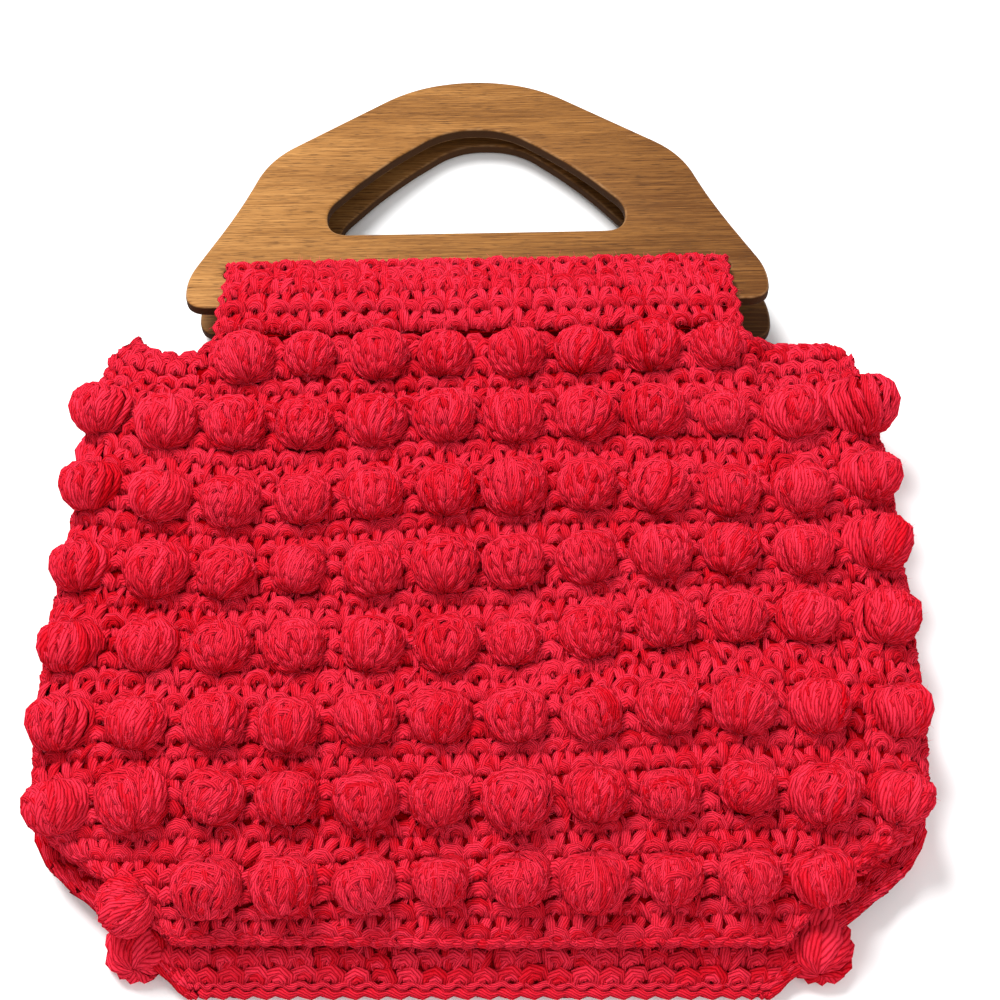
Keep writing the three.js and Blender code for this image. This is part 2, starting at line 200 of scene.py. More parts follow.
def tubePart(centre, up, wide, thick, sides):
    # closed yarns, their centres as (yarns, points, 3): a ring is centre + wide cos a side + thick sin a
    # lift, with side = along x up and lift = side x along; each end closes on a pole half a width past its
    # ring
    yarns, points = centre.shape[:2]
    forward = unit(np.gradient(centre, axis=1))
    side = unit(np.cross(forward, up))
    lift = np.cross(side, forward)
    angle = 2 * math.pi * np.arange(sides) / sides
    wide = np.broadcast_to(wide, (yarns, points))[..., None, None]
    thick = np.broadcast_to(thick, (yarns, points))[..., None, None]
    ring = (centre[:, :, None] + wide * np.cos(angle)[:, None] * side[:, :, None]
            + thick * np.sin(angle)[:, None] * lift[:, :, None])
    first = centre[:, 0] - forward[:, 0] * wide[:, 0, 0] * 0.5
    last = centre[:, -1] + forward[:, -1] * wide[:, -1, 0] * 0.5
    k, p, s = np.meshgrid(np.arange(yarns), np.arange(points - 1), np.arange(sides), indexing="ij")
    base, following = (k * points + p) * sides, (s + 1) % sides
    quads = np.stack([base + s, base + sides + s, base + sides + following, base + following], -1)
    k, s, following = k[:, 0], s[:, 0], following[:, 0]
    startPole = yarns * points * sides + k
    startRing = k * points * sides
    endRing = startRing + (points - 1) * sides
    startTris = np.stack([startPole, startRing + s, startRing + following], -1).reshape(-1, 3)
    endTris = np.stack([startPole + yarns, endRing + following, endRing + s], -1).reshape(-1, 3)
    steps = np.linalg.norm(np.diff(centre, axis=1), axis=-1)
    length = np.concatenate([np.zeros((yarns, 1)), np.cumsum(steps, 1)], 1)
    near, far = length[:, :-1, None], length[:, 1:, None]
    begin, finish = length[:, :1], length[:, -1:]
    low, high = np.arange(sides) / sides, (np.arange(sides) + 1) / sides
    middle = (low + high) / 2
    quadUv = cornerUv((near, low), (far, low), (far, high), (near, high)).reshape(-1, 4, 2)
    startUv = cornerUv((begin, middle), (begin, low), (begin, high)).reshape(-1, 3, 2)
    endUv = cornerUv((finish, middle), (finish, high), (finish, low)).reshape(-1, 3, 2)
    tint = rng.random(yarns)
    return {"points": np.concatenate([ring.reshape(-1, 3), first, last]), "quads": quads.reshape(-1, 4),
            "tris": np.concatenate([startTris, endTris]), "quadUv": quadUv,
            "triUv": np.concatenate([startUv, endUv]),
            "tint": np.concatenate([np.repeat(tint, points * sides), tint, tint]),
            "skin": ring.reshape(-1, 3), "skinOut": unit((ring - centre[:, :, None]).reshape(-1, 3)),
            "skinWay": np.repeat(forward.reshape(-1, 3), sides, 0)}


def turnedOut(part):
    # the part with every face reversed where the sum of corner . (corner x corner) is negative
    points = part["points"]
    halves = np.concatenate([part["quads"][:, [0, 1, 2]], part["quads"][:, [0, 2, 3]], part["tris"]])
    a, b, c = (points[halves[:, i]] for i in range(3))
    if np.einsum("ij,ij->i", a, np.cross(b, c)).sum() < 0:
        for key in ("quads", "tris", "quadUv", "triUv"):
            if key in part:
                part[key] = part[key][:, ::-1]
    return part


def makePiece(name, parts, material, node):
    # points, faces, uv and attributes of all the parts, one after another, in metres
    parts = [turnedOut(part) for part in parts]
    starts = np.cumsum([0] + [len(part["points"]) for part in parts[:-1]])
    points = np.concatenate([part["points"] for part in parts])
    quads = np.concatenate([part["quads"] + start for part, start in zip(parts, starts)])
    tris = np.concatenate([part["tris"] + start for part, start in zip(parts, starts)])
    mesh = bpy.data.meshes.new(name)
    mesh.vertices.add(len(points))
    mesh.vertices.foreach_set("co", (points * mm).astype(np.float32).ravel())
    loops = np.concatenate([quads.ravel(), tris.ravel()]).astype(np.int32)
    mesh.loops.add(len(loops))
    mesh.loops.foreach_set("vertex_index", loops)
    loopStarts = np.concatenate([np.arange(len(quads)) * 4, len(quads) * 4 + np.arange(len(tris)) * 3])
    mesh.polygons.add(len(loopStarts))
    mesh.polygons.foreach_set("loop_start", loopStarts.astype(np.int32))
    mesh.polygons.foreach_set("use_smooth", np.full(len(loopStarts), True))
    quadUvs = [part.get("quadUv", np.zeros((len(part["quads"]), 4, 2))) for part in parts]
    triUvs = [part.get("triUv", np.zeros((len(part["tris"]), 3, 2))) for part in parts]
    uv = np.concatenate([np.concatenate(quadUvs).reshape(-1, 2), np.concatenate(triUvs).reshape(-1, 2)])
    mesh.uv_layers.new(name="yarnWay").data.foreach_set("uv", uv.astype(np.float32).ravel())
    for key in ("tint", "edge", "rim", "grainAt"):
        if key in parts[0]:
            kind, field = ("FLOAT_VECTOR", "vector") if key == "grainAt" else ("FLOAT", "value")
            values = np.concatenate([part[key] for part in parts]).astype(np.float32)
            mesh.attributes.new(key, kind, "POINT").data.foreach_set(field, values.ravel())
    mesh.update(calc_edges=True)
    mesh.validate()
    mesh.materials.append(material)
    piece = addObject(name, mesh)
    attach(piece, "root")
    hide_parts(node)
    print("made", name, "with", len(quads) * 2 + len(tris), "triangles")


# Shader helpers

def plug(tree, socket, value):
    # another node's socket is joined to this one, and a plain value is set on it
    if isinstance(value, bpy.types.NodeSocket):
        tree.links.new(value, socket)
    else:
        socket.default_value = value


def setSockets(tree, node, values):
    for key, value in values.items():
        plug(tree, node.inputs[key], value)


def newNode(tree, kind, values, **settings):
    # one node with its settings made first, then its sockets
    node = tree.nodes.new("ShaderNode" + kind)
    for key, setting in settings.items():
        setattr(node, key, setting)
    setSockets(tree, node, values)
    return node


def newMaterial(name):
    material = bpy.data.materials.new(name)
    material.use_nodes = True
    return material, material.node_tree, material.node_tree.nodes["Principled BSDF"]


def newGroup(name, inputs, outputs):
    # an empty group: each input with its usual number, or None for a vector, and outputs that are numbers
    tree = bpy.data.node_groups.new(name, "ShaderNodeTree")
    for socketName, value in inputs.items():
        kind = "NodeSocketVector" if value is None else "NodeSocketFloat"
        made = tree.interface.new_socket(name=socketName, in_out="INPUT", socket_type=kind)
        if value is not None:
            made.default_value = value
    for socketName in outputs:
        tree.interface.new_socket(name=socketName, in_out="OUTPUT", socket_type="NodeSocketFloat")
    return tree, tree.nodes.new("NodeGroupInput").outputs, tree.nodes.new("NodeGroupOutput")


def mathNode(tree, operation, *values):
    return newNode(tree, "Math", dict(enumerate(values)), operation=operation).outputs[0]


def weighedSum(tree, *terms):
    # the sum of socket x share
    total = 0.0
    for socket, share in terms:
        total = mathNode(tree, "MULTIPLY_ADD", socket, share, total)
    return total


def noiseNode(tree, vector, scale, detail, roughness):
    sockets = {"Vector": vector, "Scale": scale, "Detail": detail, "Roughness": roughness}
    return newNode(tree, "TexNoise", sockets).outputs["Fac"]


def shareBetween(tree, value, low, high):
    # 0 at low, 1 at high
    return newNode(tree, "MapRange", {"Value": value, "From Min": low, "From Max": high}).outputs["Result"]


def attributeNode(tree, name):
    return newNode(tree, "Attribute", {}, attribute_name=name).outputs


def rampNode(tree, fac, stops):
    node = newNode(tree, "ValToRGB", {"Fac": fac})
    elements = node.color_ramp.elements
    while len(elements) < len(stops):
        elements.new(0.5)
    for element, (place, color) in zip(elements, stops):
        element.position = place
        element.color = (*color, 1)
    return node.outputs["Color"]


def mixColor(tree, fac, first, second):
    # first where fac is 0, the plain colour second where it is 1
    return newNode(tree, "Mix", {0: fac, 6: first, 7: (*second, 1)}, data_type="RGBA").outputs[2]


def bumpNode(tree, height, strength, distance):
    sockets = {"Height": height, "Strength": strength, "Distance": distance * mm}
    return newNode(tree, "Bump", sockets).outputs["Normal"]


def scaled(color, share):
    return tuple(share * c for c in color)


# Yarn: plies that wind round each strand, with fibres along them

yarnLook = {
    "plies": 7.0, "lay": 26.0,                      # plies in the strand, mm of length for one turn
    "ridgePower": 0.75, "helixAlong": 0.32, "helixRound": 3.2, "fibreHeight": 0.9,
    "fibreNoise": (2.4, 4.0, 0.65), "patchNoise": (26.0, 3.0, 0.5),          # scale, detail, roughness
    # grooveShadeColor and grooveShadeShare: painted shade, a darker red laid into the grooves between plies
    "tintShare": 0.45, "fibreShare": 0.8, "patchShare": 0.35, "deepBelow": 0.42, "grooveShadeShare": 0.9,
    "deep": (0.6, 0.0, 0.003), "bright": (0.95, 0.036, 0.078), "grooveShadeColor": (0.36, 0.0, 0.002),
    "roughness": 0.95, "sheen": 0.03, "sheenRoughness": 0.45, "sheenTint": (1.0, 0.12, 0.18, 1.0),
    "bumpStrength": 0.8, "bump": 0.8,               # the bump's depth in mm
}
groundLook = {
    # color: painted shade, a red far darker than the yarn, seen in the gaps between stitches and strands
    "color": (0.34, 0.0, 0.002), "dark": 0.6, "feltNoise": (320.0, 6.0, 0.75),
    "darkBelow": 0.3, "fullAbove": 0.75, "roughness": 0.95, "bumpStrength": 0.9, "bump": 1.6,
}
# fuzz color: painted highlight, the loose fibres paler and pinker than the yarn they come from
fuzzLook = {"color": (0.98, 0.08, 0.14), "roughness": 0.9, "sheen": 0.5}


def makeYarnTwist():
    # ridge = |sin(pi plies (around + length / lay))|^power; fibre: noise on a helix that closes round the
    # strand; height = ridge + fibre height x fibre
    tree, given, made = newGroup("yarnTwist", {"Length": 0.0, "Around": 0.0, "Plies": 3.0, "Lay": 8.0},
                                 ["Ridge", "Fibre", "Height"])
    turned = mathNode(tree, "ADD", given["Around"], mathNode(tree, "DIVIDE", given["Length"], given["Lay"]))
    phase = mathNode(tree, "MULTIPLY", turned, given["Plies"])
    wave = mathNode(tree, "SINE", mathNode(tree, "MULTIPLY", phase, math.pi))
    ridge = mathNode(tree, "POWER", mathNode(tree, "ABSOLUTE", wave), yarnLook["ridgePower"])
    angle = mathNode(tree, "MULTIPLY", turned, 2 * math.pi)
    helix = newNode(tree, "CombineXYZ", {
        "X": mathNode(tree, "MULTIPLY", given["Length"], yarnLook["helixAlong"]),
        "Y": mathNode(tree, "MULTIPLY", mathNode(tree, "COSINE", angle), yarnLook["helixRound"]),
        "Z": mathNode(tree, "MULTIPLY", mathNode(tree, "SINE", angle), yarnLook["helixRound"]),
    })
    fibre = noiseNode(tree, helix.outputs[0], *yarnLook["fibreNoise"])
    height = mathNode(tree, "MULTIPLY_ADD", fibre, yarnLook["fibreHeight"], ridge)
    setSockets(tree, made, {"Ridge": ridge, "Fibre": fibre, "Height": height})
    return tree


def makeYarn():
    # colour from the strand's own tint, its fibres and wide patches, with painted shade darkening the grooves
    # between plies; bump from the twist
    material, tree, surface = newMaterial("redYarn")
    uvMap = newNode(tree, "UVMap", {}, uv_map="yarnWay")
    way = newNode(tree, "SeparateXYZ", {0: uvMap.outputs["UV"]}).outputs
    sockets = {"Length": way["X"], "Around": way["Y"], "Plies": yarnLook["plies"], "Lay": yarnLook["lay"]}
    twist = newNode(tree, "Group", sockets, node_tree=yarnTwist).outputs
    place = newNode(tree, "TexCoord", {}).outputs["Object"]
    patches = noiseNode(tree, place, *yarnLook["patchNoise"])
    tone = weighedSum(tree, (attributeNode(tree, "tint")["Fac"], yarnLook["tintShare"]),
                      (twist["Fibre"], yarnLook["fibreShare"]), (patches, yarnLook["patchShare"]))
    dyed = rampNode(tree, tone, [(yarnLook["deepBelow"], yarnLook["deep"]), (1.0, yarnLook["bright"])])
    paintedGrooveShade = mathNode(tree, "SUBTRACT", 1.0, twist["Ridge"])
    paintedGrooveShade = mathNode(tree, "MULTIPLY", paintedGrooveShade, yarnLook["grooveShadeShare"])
    setSockets(tree, surface, {
        "Base Color": mixColor(tree, paintedGrooveShade, dyed, yarnLook["grooveShadeColor"]),
        "Normal": bumpNode(tree, twist["Height"], yarnLook["bumpStrength"], yarnLook["bump"]),
        "Roughness": yarnLook["roughness"], "Sheen Weight": yarnLook["sheen"],
        "Sheen Roughness": yarnLook["sheenRoughness"], "Sheen Tint": yarnLook["sheenTint"],
        "Specular IOR Level": 0.0,
    })
    return material


def makeShadedGround():
    # what lies under the stitches, in the bobble cores and in the hem sleeves: painted shade, a deep red darker
    # than the yarn, rough, with a felted bump
    material, tree, surface = newMaterial("shadedRedGround")
    place = newNode(tree, "TexCoord", {}).outputs["Object"]
    felt = noiseNode(tree, place, *groundLook["feltNoise"])
    stops = [(groundLook["darkBelow"], scaled(groundLook["color"], groundLook["dark"])),
             (groundLook["fullAbove"], groundLook["color"])]
    setSockets(tree, surface, {
        "Base Color": rampNode(tree, felt, stops),
        "Normal": bumpNode(tree, felt, groundLook["bumpStrength"], groundLook["bump"]),
        "Roughness": groundLook["roughness"], "Specular IOR Level": 0.0,
    })
    return material


def makeFuzzLook():
    # single loose fibres, painted paler and pinker than the yarn as a highlight
    material, tree, surface = newMaterial("redFuzzHighlight")
    stops = [(0.0, yarnLook["bright"]), (1.0, fuzzLook["color"])]
    setSockets(tree, surface, {
        "Base Color": rampNode(tree, attributeNode(tree, "tint")["Fac"], stops),
        "Roughness": fuzzLook["roughness"], "Sheen Weight": fuzzLook["sheen"],
        "Sheen Tint": yarnLook["sheenTint"],
    })
    return material


yarnTwist = makeYarnTwist()
redYarn, shadedRedGround, redFuzzHighlight = makeYarn(), makeShadedGround(), makeFuzzLook()
print("yarn materials made")


# Bobbles: strands that fan from a tucked lower pole over an egg to an upper one, with arcs and plaits on top

yarnVary = (0.85, 1.15)      # least and most of a yarn's width
bobble = {
    "across": 9.4, "down": 8.4, "tall": 9.4,                # half sizes of the egg
    "rise": 1.5,                                            # its centre above the cloth
    "square": 0.68,                                         # 1 for a plain egg, less for one with fuller ends
    "egg": 0.13, "core": 0.965, "coreEnd": 0.12, "coreDraw": 0.6, "vary": 0.065, "offset": 0.5,
    "tuck": math.radians(9), "tuckVary": math.radians(4), "spin": math.radians(9),
    "strand": 1.35, "flat": 0.66,                           # half width, and thickness as a share of it
    "fan": math.radians(118), "sideFan": math.radians(172), "fanStray": math.radians(1.6),
    "fanFill": 9.6, "sway": math.radians(10), "poleGap": 0.012,
    "uneven": 0.022, "proud": 0.03, "proudShare": 0.12, "fanWave": 0.02,
    "faceLean": math.radians(8), "crownSpan": (55, 110), "crownFrom": 34, "crownTo": 80,    # degrees
    "postStep": 31, "plaitLow": 38, "plaitHigh": 122, "plaitLong": 44,                      # degrees
    "crownOver": 1.02, "plaitOver": 1.03, "endDip": 0.1,    # heights on the egg, and how far the ends sink in
    "frontFan": (20, 7, 4), "rearFan": (12, 6, 4), "crown": (4, 7, 4),      # strands, points on each, sides
    "plait": (5, 4, 5, 4),                                  # posts, levels, points, sides
    "frontCorner": (1.5, 8.42, 3.0), "rearCorner": (1.2, 8.3, 1.0),     # column, row, mm out sideways
    "cornerLean": (0.5, -0.3),                              # sideways and down for each 1 outwards
    "floorGap": 0.15, "coreFloorGap": 0.4, "press": 0.9,
}


def bobbleSet(surface, flip, lowRow, highRow):
    # crossings of the grid, less the first row's beside the hem and two of the front's last row, with the
    # last row's end ones moved onto the corner; each has w = out + lean, u across and v down square to it,
    # all turned by a small spin about w
    rows, columns = np.arange(lowRow, highRow + 1.0), np.arange(1.0, bag["columns"] + 1)
    row, column = np.meshgrid(rows, columns, indexing="ij")
    beside = (row == 1) & (np.abs(column - middleColumn) * bag["pitch"] > bag["hemWidth"] / 2)
    crowded = (row == bag["rows"]) & (flip > 0) & ((column == 2) | (column == bag["columns"]))
    kept = ~(beside | crowded)
    row, column = row[kept], column[kept]
    corner = (row == bag["rows"]) & ((column == 1) | (column == bag["columns"]))
    cornerColumn, cornerRow, aside = bobble["frontCorner" if flip > 0 else "rearCorner"]
    way = np.sign(column - middleColumn)
    column = np.where(corner, middleColumn + way * (middleColumn - cornerColumn), column)
    row = np.where(corner, cornerRow, row)
    count = len(row)
    level = np.zeros(count)
    place, across, down, out = clothFrame(surface, column, row, flip)
    seam = np.sign(sideShare(column)) * np.abs(sideShare(column))**bag["seamPower"]
    leaned = unit(out + np.stack([bag["sideLean"] * seam, level, level], -1))
    sideways, downwards = bobble["cornerLean"]
    onCorner = unit(np.stack([sideways * way, level + downwards, level + flip], -1))
    w = np.where(corner[:, None], onCorner, leaned)
    u = unit(across - w * (across * w).sum(-1, keepdims=True))
    v = np.cross(w, u)
    v = v * np.sign((v * down).sum(-1, keepdims=True))
    spin = rng.normal(0, bobble["spin"], (count, 1))
    u, v = u * np.cos(spin) + v * np.sin(spin), v * np.cos(spin) - u * np.sin(spin)
    tuck = bobble["tuck"] + rng.normal(0, bobble["tuckVary"], (count, 1))
    shift = u * rng.normal(0, bobble["offset"], (count, 1)) + v * rng.normal(0, bobble["offset"], (count, 1))
    shift = shift + (corner * way * aside)[:, None] * np.array([1, 0, 0])
    fan = np.where((flip < 0) | (np.abs(seam) > 0.1), bobble["sideFan"], bobble["fan"])
    return {"centre": place + w * bobble["rise"] + shift, "out": w, "across": u, "fan": fan[:, None, None],
            "pole": v * np.cos(tuck) - w * np.sin(tuck), "crest": w * np.cos(tuck) + v * np.sin(tuck),
            "size": 1 + rng.normal(0, bobble["vary"], count), "swell": 1 + bag["sideSwell"] * np.abs(seam)}


def onEgg(eggs, b, l, high):
    # centre + high size (pole down cos b + (u across sin l + crest tall swell cos l) g),
    # with g = sin(b)^square (1 - egg cos b)
    def each(key):
        return eggs[key].reshape(len(b), 1, 1, -1)

    big = each("size")[..., 0] * high
    girth = np.sin(b)**bobble["square"] * (1 - bobble["egg"] * np.cos(b)) * big
    return (each("centre") + each("pole") * (bobble["down"] * np.cos(b) * big)[..., None]
            + each("across") * (bobble["across"] * np.sin(l) * girth)[..., None]
            + each("crest") * (bobble["tall"] * np.cos(l) * girth)[..., None] * each("swell"))


def strandPart(eggs, b, l, high, width, sides):
    # flat strands along (b, l) on the egg, their flat side to its centre
    path = onEgg(eggs, b, l, high)
    up = path - eggs["centre"][:, None, None]
    points = path.shape[2]
    width = np.broadcast_to(width, path.shape[:3]).reshape(-1, points)
    path, up = path.reshape(-1, points, 3), up.reshape(-1, points, 3)
    return tubePart(path, up, width, bobble["flat"] * width, sides)


def fanStrands(eggs, strands, points, sides):
    # b = pi t from pole to pole, l even over the fan, each strand at its own height and a few proud; all of a
    # bobble's strands sway together, by sway sin(pi t) sin(2 pi turns t + phase + 1.4 l)
    shape, whole = (len(eggs["centre"]), strands, 1), (len(eggs["centre"]), 1, 1)
    t = np.linspace(bobble["poleGap"], 1 - bobble["poleGap"], points)
    l = np.linspace(-1, 1, strands)[:, None] * eggs["fan"] + rng.normal(0, bobble["fanStray"], shape)
    phase, turns = rng.uniform(0, 2 * math.pi, whole), rng.uniform(0.5, 1.1, whole)
    b = np.broadcast_to(math.pi * t, (*shape[:2], points))
    high = 1 + rng.normal(0, bobble["uneven"], shape)
    high = high + bobble["proud"] * (rng.random(shape) < bobble["proudShare"])
    high = high + bobble["fanWave"] * np.sin(2 * math.pi * turns * t + 3 * l + 2 * phase)
    l = l + bobble["sway"] * np.sin(math.pi * t) * np.sin(2 * math.pi * turns * t + phase + 1.4 * l)
    filling = bobble["fanFill"] * eggs["fan"] / strands
    width = (0.35 + 0.65 * np.sin(b)) * bobble["strand"] * filling * rng.uniform(0.9, 1.25, shape)
    return strandPart(eggs, b, l, high, width, sides)


def onFace(a, c):
    # the way at angle a from the face's middle, turned by c about it (0 across, 90 degrees down), as (b, l)
    lean = bobble["faceLean"]
    toCrest = np.cos(a) * math.cos(lean) - np.sin(a) * np.sin(c) * math.sin(lean)
    toPole = np.cos(a) * math.sin(lean) + np.sin(a) * np.sin(c) * math.cos(lean)
    return np.arccos(np.clip(toPole, -0.999, 0.999)), np.arctan2(np.sin(a) * np.cos(c), toCrest)


def crownStrands(eggs, strands, points, sides):
    # arcs round the upper half: c from low on one side to low on the other with s from -1 to 1, a even from
    # arc to arc; height = over - dip s^4
    shape, whole = (len(eggs["centre"]), strands, 1), (len(eggs["centre"]), 1, 1)
    s = np.linspace(-1, 1, points)
    span = np.radians(rng.uniform(*bobble["crownSpan"], shape))
    c = math.radians(-90) + rng.normal(0, 0.35, whole) + rng.normal(0, 0.25, shape) + span * s
    a = np.linspace(bobble["crownFrom"], bobble["crownTo"], strands)[:, None]
    a = a + rng.normal(0, 4, shape) + rng.normal(0, 6, whole) * s
    high = bobble["crownOver"] + rng.normal(0, 0.012, shape) - bobble["endDip"] * s**4
    width = bobble["strand"] * rng.uniform(*yarnVary, shape) * np.sqrt(1 - 0.6 * s**4)
    return strandPart(eggs, *onFace(np.radians(a), c), high, width, sides)


def plaitStrands(eggs, posts, levels, points, sides):
    # posts side by side down the face, each of short strands that lean in to its middle as they go down, one
    # left and one right at each level: b falls by the length, l goes from post + way (spread + 2) to post +
    # way 2
    whole = (len(eggs["centre"]), 1, 1, 1, 1)
    shape = (len(eggs["centre"]), posts, levels, 2, 1)
    s = np.linspace(0, 1, points)
    way = np.array([-1, 1])[:, None]
    post = (np.arange(posts) - (posts - 1) / 2)[:, None, None, None] * bobble["postStep"]
    level = np.linspace(bobble["plaitLow"], bobble["plaitHigh"], levels)[:, None, None]
    level = level + rng.normal(0, 4, shape) + rng.uniform(-8, 8, (len(eggs["centre"]), posts, 1, 1, 1))
    b = level + bobble["plaitLong"] * rng.uniform(0.8, 1.2, shape) * (0.5 - s)
    spread = rng.uniform(0.75, 1.2, shape) * bobble["postStep"] / 2
    l = post + rng.normal(0, 9, whole) + rng.normal(0, 2.5, shape) + way * (spread * (1 - s)**0.8 + 2)
    high = bobble["plaitOver"] + rng.normal(0, 0.013, shape) - bobble["endDip"] * np.abs(2 * s - 1)**3
    width = bobble["strand"] * rng.uniform(*yarnVary, shape) * (0.5 + 0.5 * np.sin(math.pi * s))
    every, flat = (*shape[:4], points), (len(eggs["centre"]), posts * levels * 2, points)
    values = (np.radians(b), np.radians(l), high, width)
    return strandPart(eggs, *(np.broadcast_to(value, every).reshape(flat) for value in values), sides)


def corePart(eggs, points=7, sides=10):
    # the egg at its core's share of the size, one closed tube per bobble, drawn in below the cloth
    b = np.linspace(bobble["coreEnd"], math.pi - bobble["coreEnd"], points)[:, None]
    l = 2 * math.pi * np.arange(sides) / sides
    shape = (len(eggs["centre"]), points, sides)
    ring = onEgg(eggs, np.broadcast_to(b, shape), np.broadcast_to(l, shape), bobble["core"])
    out = eggs["out"][:, None, None]
    below = np.minimum(0, ((ring - eggs["centre"][:, None, None]) * out).sum(-1, keepdims=True))
    ring = ring - out * below * bobble["coreDraw"]
    middle = ring.mean(2)
    across = np.linalg.norm(ring - middle[:, :, None], axis=-1).mean(-1)
    part = tubePart(middle, np.broadcast_to(eggs["out"][:, None], middle.shape), across, across, sides)
    part["points"][:ring.size // 3] = ring.reshape(-1, 3)
    return part


def pressedFlat(part, floorGap=bobble["floorGap"]):
    # z becomes gap + press ln(1 + exp(z / press)), which leaves what is high and flattens what would sink
    z = part["points"][:, 2]
    part["points"][:, 2] = floorGap + bobble["press"] * np.logaddexp(0, z / bobble["press"])
    return part


frontStrands, frontCores = [], []
for name, lowRow, highRow in (("front_bobbles_upper", 1, 4), ("front_bobbles_lower", 5, 8)):
    eggs = bobbleSet(frontCloth, 1, lowRow, highRow)
    strands = [fanStrands(eggs, *bobble["frontFan"]), crownStrands(eggs, *bobble["crown"]),
               plaitStrands(eggs, *bobble["plait"])]
    makePiece(name, strands, redYarn, "front_panel")
    frontStrands += strands
    frontCores.append(corePart(eggs))
makePiece("front_bobble_cores", frontCores, shadedRedGround, "front_panel")
eggs = bobbleSet(rearCloth, -1, 1, bag["rows"])
rearStrands = pressedFlat(fanStrands(eggs, *bobble["rearFan"]))
makePiece("rear_bobbles", [rearStrands], redYarn, "rear_panel")
rearCores = pressedFlat(corePart(eggs), bobble["coreFloorGap"])
makePiece("rear_bobble_cores", [rearCores], shadedRedGround, "rear_panel")


# Stitches: nested arcs round each stitch's hole, the legs between rows, and yarns along the cloth's edges

stitch = {
    "pitch": 8.0, "hole": 0.7, "band": 3.9, "tall": 0.9, "reach": math.radians(112), "arcHigh": 1.5,
    "legHigh": 1.0, "legLength": 7.4, "legTop": 3.6, "legFoot": 0.28, "legBelow": 4.0, "legInner": 0.36,
    "legWide": 1.2, "yarn": 1.0, "flat": 0.75, "sink": 1.3, "sinkVary": 0.22, "sizeVary": 0.08,
    "turn": math.radians(10), "jitter": 0.35, "stray": 2.2, "ringVary": 0.06, "legVary": 0.15,
    "nest": 0.25, "thinEnds": 0.3,                          # lower outer arcs, thinner ends
    "edging": 1.15, "edgingWave": 0.5, "edgingPitch": 7.0, "ripple": 0.12, "edgeInset": 0.03,
    "frontGround": 1.6, "rearGround": 1.7, "baseGround": 1.6,       # how deep the ground lies
    "ribs": (5.95, 5.83, 5.71, 5.59, 5.47), "ribTop": 6.2,          # columns from the middle, first row
}
# kind, rows below each bobble row (frontTop and base: the row itself), yarns in a stitch, points on each, sides
rowTable = {
    "front": [("arc", [0.42], 3, 7, 4), ("arc", [0.7], 3, 6, 4), ("leg", [0.42, 0.7], 4, 4, 4),
              ("arc", [-0.04, 0.18], 2, 5, 4), ("leg", [0.18], 2, 4, 3)],
    "rear": [("arc", [0.42], 2, 5, 3), ("arc", [0.7], 2, 4, 3), ("leg", [0.42, 0.7], 2, 4, 3)],
    "frontTop": [("arc", [0.86], 3, 6, 4)],
    "base": [("arc", [7.55, 7.8, 8.05, 8.3, 8.5, 8.68], 2, 5, 4), ("leg", [7.55, 7.8, 8.05, 8.3], 4, 4, 4)],
}
# how far below the cloth, height off it, sides, width, points on each wave
cordTable = {
    "front": [(0.0, -0.4, 5, 1.0, 6), (2.2, -0.3, 4, 1.25, 3), (4.4, -0.3, 4, 1.25, 3)],
    "rear": [(0.0, -0.4, 4, 1.0, 6), (0.0, -2.6, 4, 1.4, 3), (0.0, -4.6, 4, 1.3, 3)],
    "ribs": [(0.0, -0.2, 4, 1.0, 6)],
}


def stitchRows(kind, places, stitches, plies, points, pitch, stray=0):
    # arc: across = r sin f, down = -tall r cos f, high = arcHigh cos 0.75 f, f from -reach to reach
    # leg: across = top (1 - (1 - foot) s^0.8) to both sides, down = length (s - 1/2), high = legHigh sin pi s
    # each stitch is then turned, shifted and lifted a little at random; returns the row's place, across, down,
    # high and width
    s = np.linspace(0, 1, points)
    j = np.arange(plies)[:, None]
    step = stitch["band"] / (plies if kind == "arc" else 3)
    shape = (len(places), stitches, 1, 1)
    perYarn = (len(places), stitches, plies, 1)
    size = rng.normal(1, stitch["sizeVary"], shape)
    if kind == "arc":
        f = (2 * s - 1) * stitch["reach"]
        r = (stitch["hole"] + step * (j + 0.5)) * size * (1 + rng.normal(0, stitch["ringVary"], perYarn))
        across, down = r * np.sin(f), -stitch["tall"] * r * np.cos(f)
        high = stitch["arcHigh"] * np.cos(0.75 * f) - stitch["nest"] * (j - (plies - 1) / 2)**2
        thickness = stitch["yarn"] * step
    else:
        side = np.where(j < plies / 2, -1, 1) * (1 - stitch["legInner"] * np.minimum(j, plies - 1 - j))
        across = stitch["legTop"] * side * (1 - (1 - stitch["legFoot"]) * s**0.8) * size
        down = stitch["legLength"] * (s - 0.5)
        high = stitch["legHigh"] * np.sin(math.pi * s) + rng.normal(0, stitch["legVary"], perYarn)
        thickness = stitch["legWide"] * stitch["yarn"] * step
    turn = rng.normal(0, stitch["turn"], shape)
    home = pitch * (np.arange(stitches) + 0.5 - stitches / 2)[:, None, None]
    home = home + rng.uniform(-stray, stray, (len(places), 1, 1, 1))
    lift = rng.normal(-stitch["sink"], stitch["sinkVary"], shape)
    a = home + across * np.cos(turn) - down * np.sin(turn) + rng.normal(0, stitch["jitter"], shape)
    b = across * np.sin(turn) + down * np.cos(turn) + rng.normal(0, stitch["jitter"], shape)
    width = thickness * (1 - stitch["thinEnds"] * (2 * s - 1)**2) * rng.uniform(*yarnVary, perYarn)
    at = np.array(places, float).reshape(-1, 1, 1, 1)
    every = (len(places), stitches, plies, points)
    return [np.broadcast_to(value, every).reshape(-1, points) for value in (at, a, b, high + lift, width)]


def layYarn(surface, flip, column, row, high, width, sides):
    # each yarn's centre is the cloth's place at (column, row) plus the way out times its height
    place, *_, out = clothFrame(surface, column, row, flip)
    return tubePart(place + out * high[..., None], out, width, stitch["flat"] * width, sides)


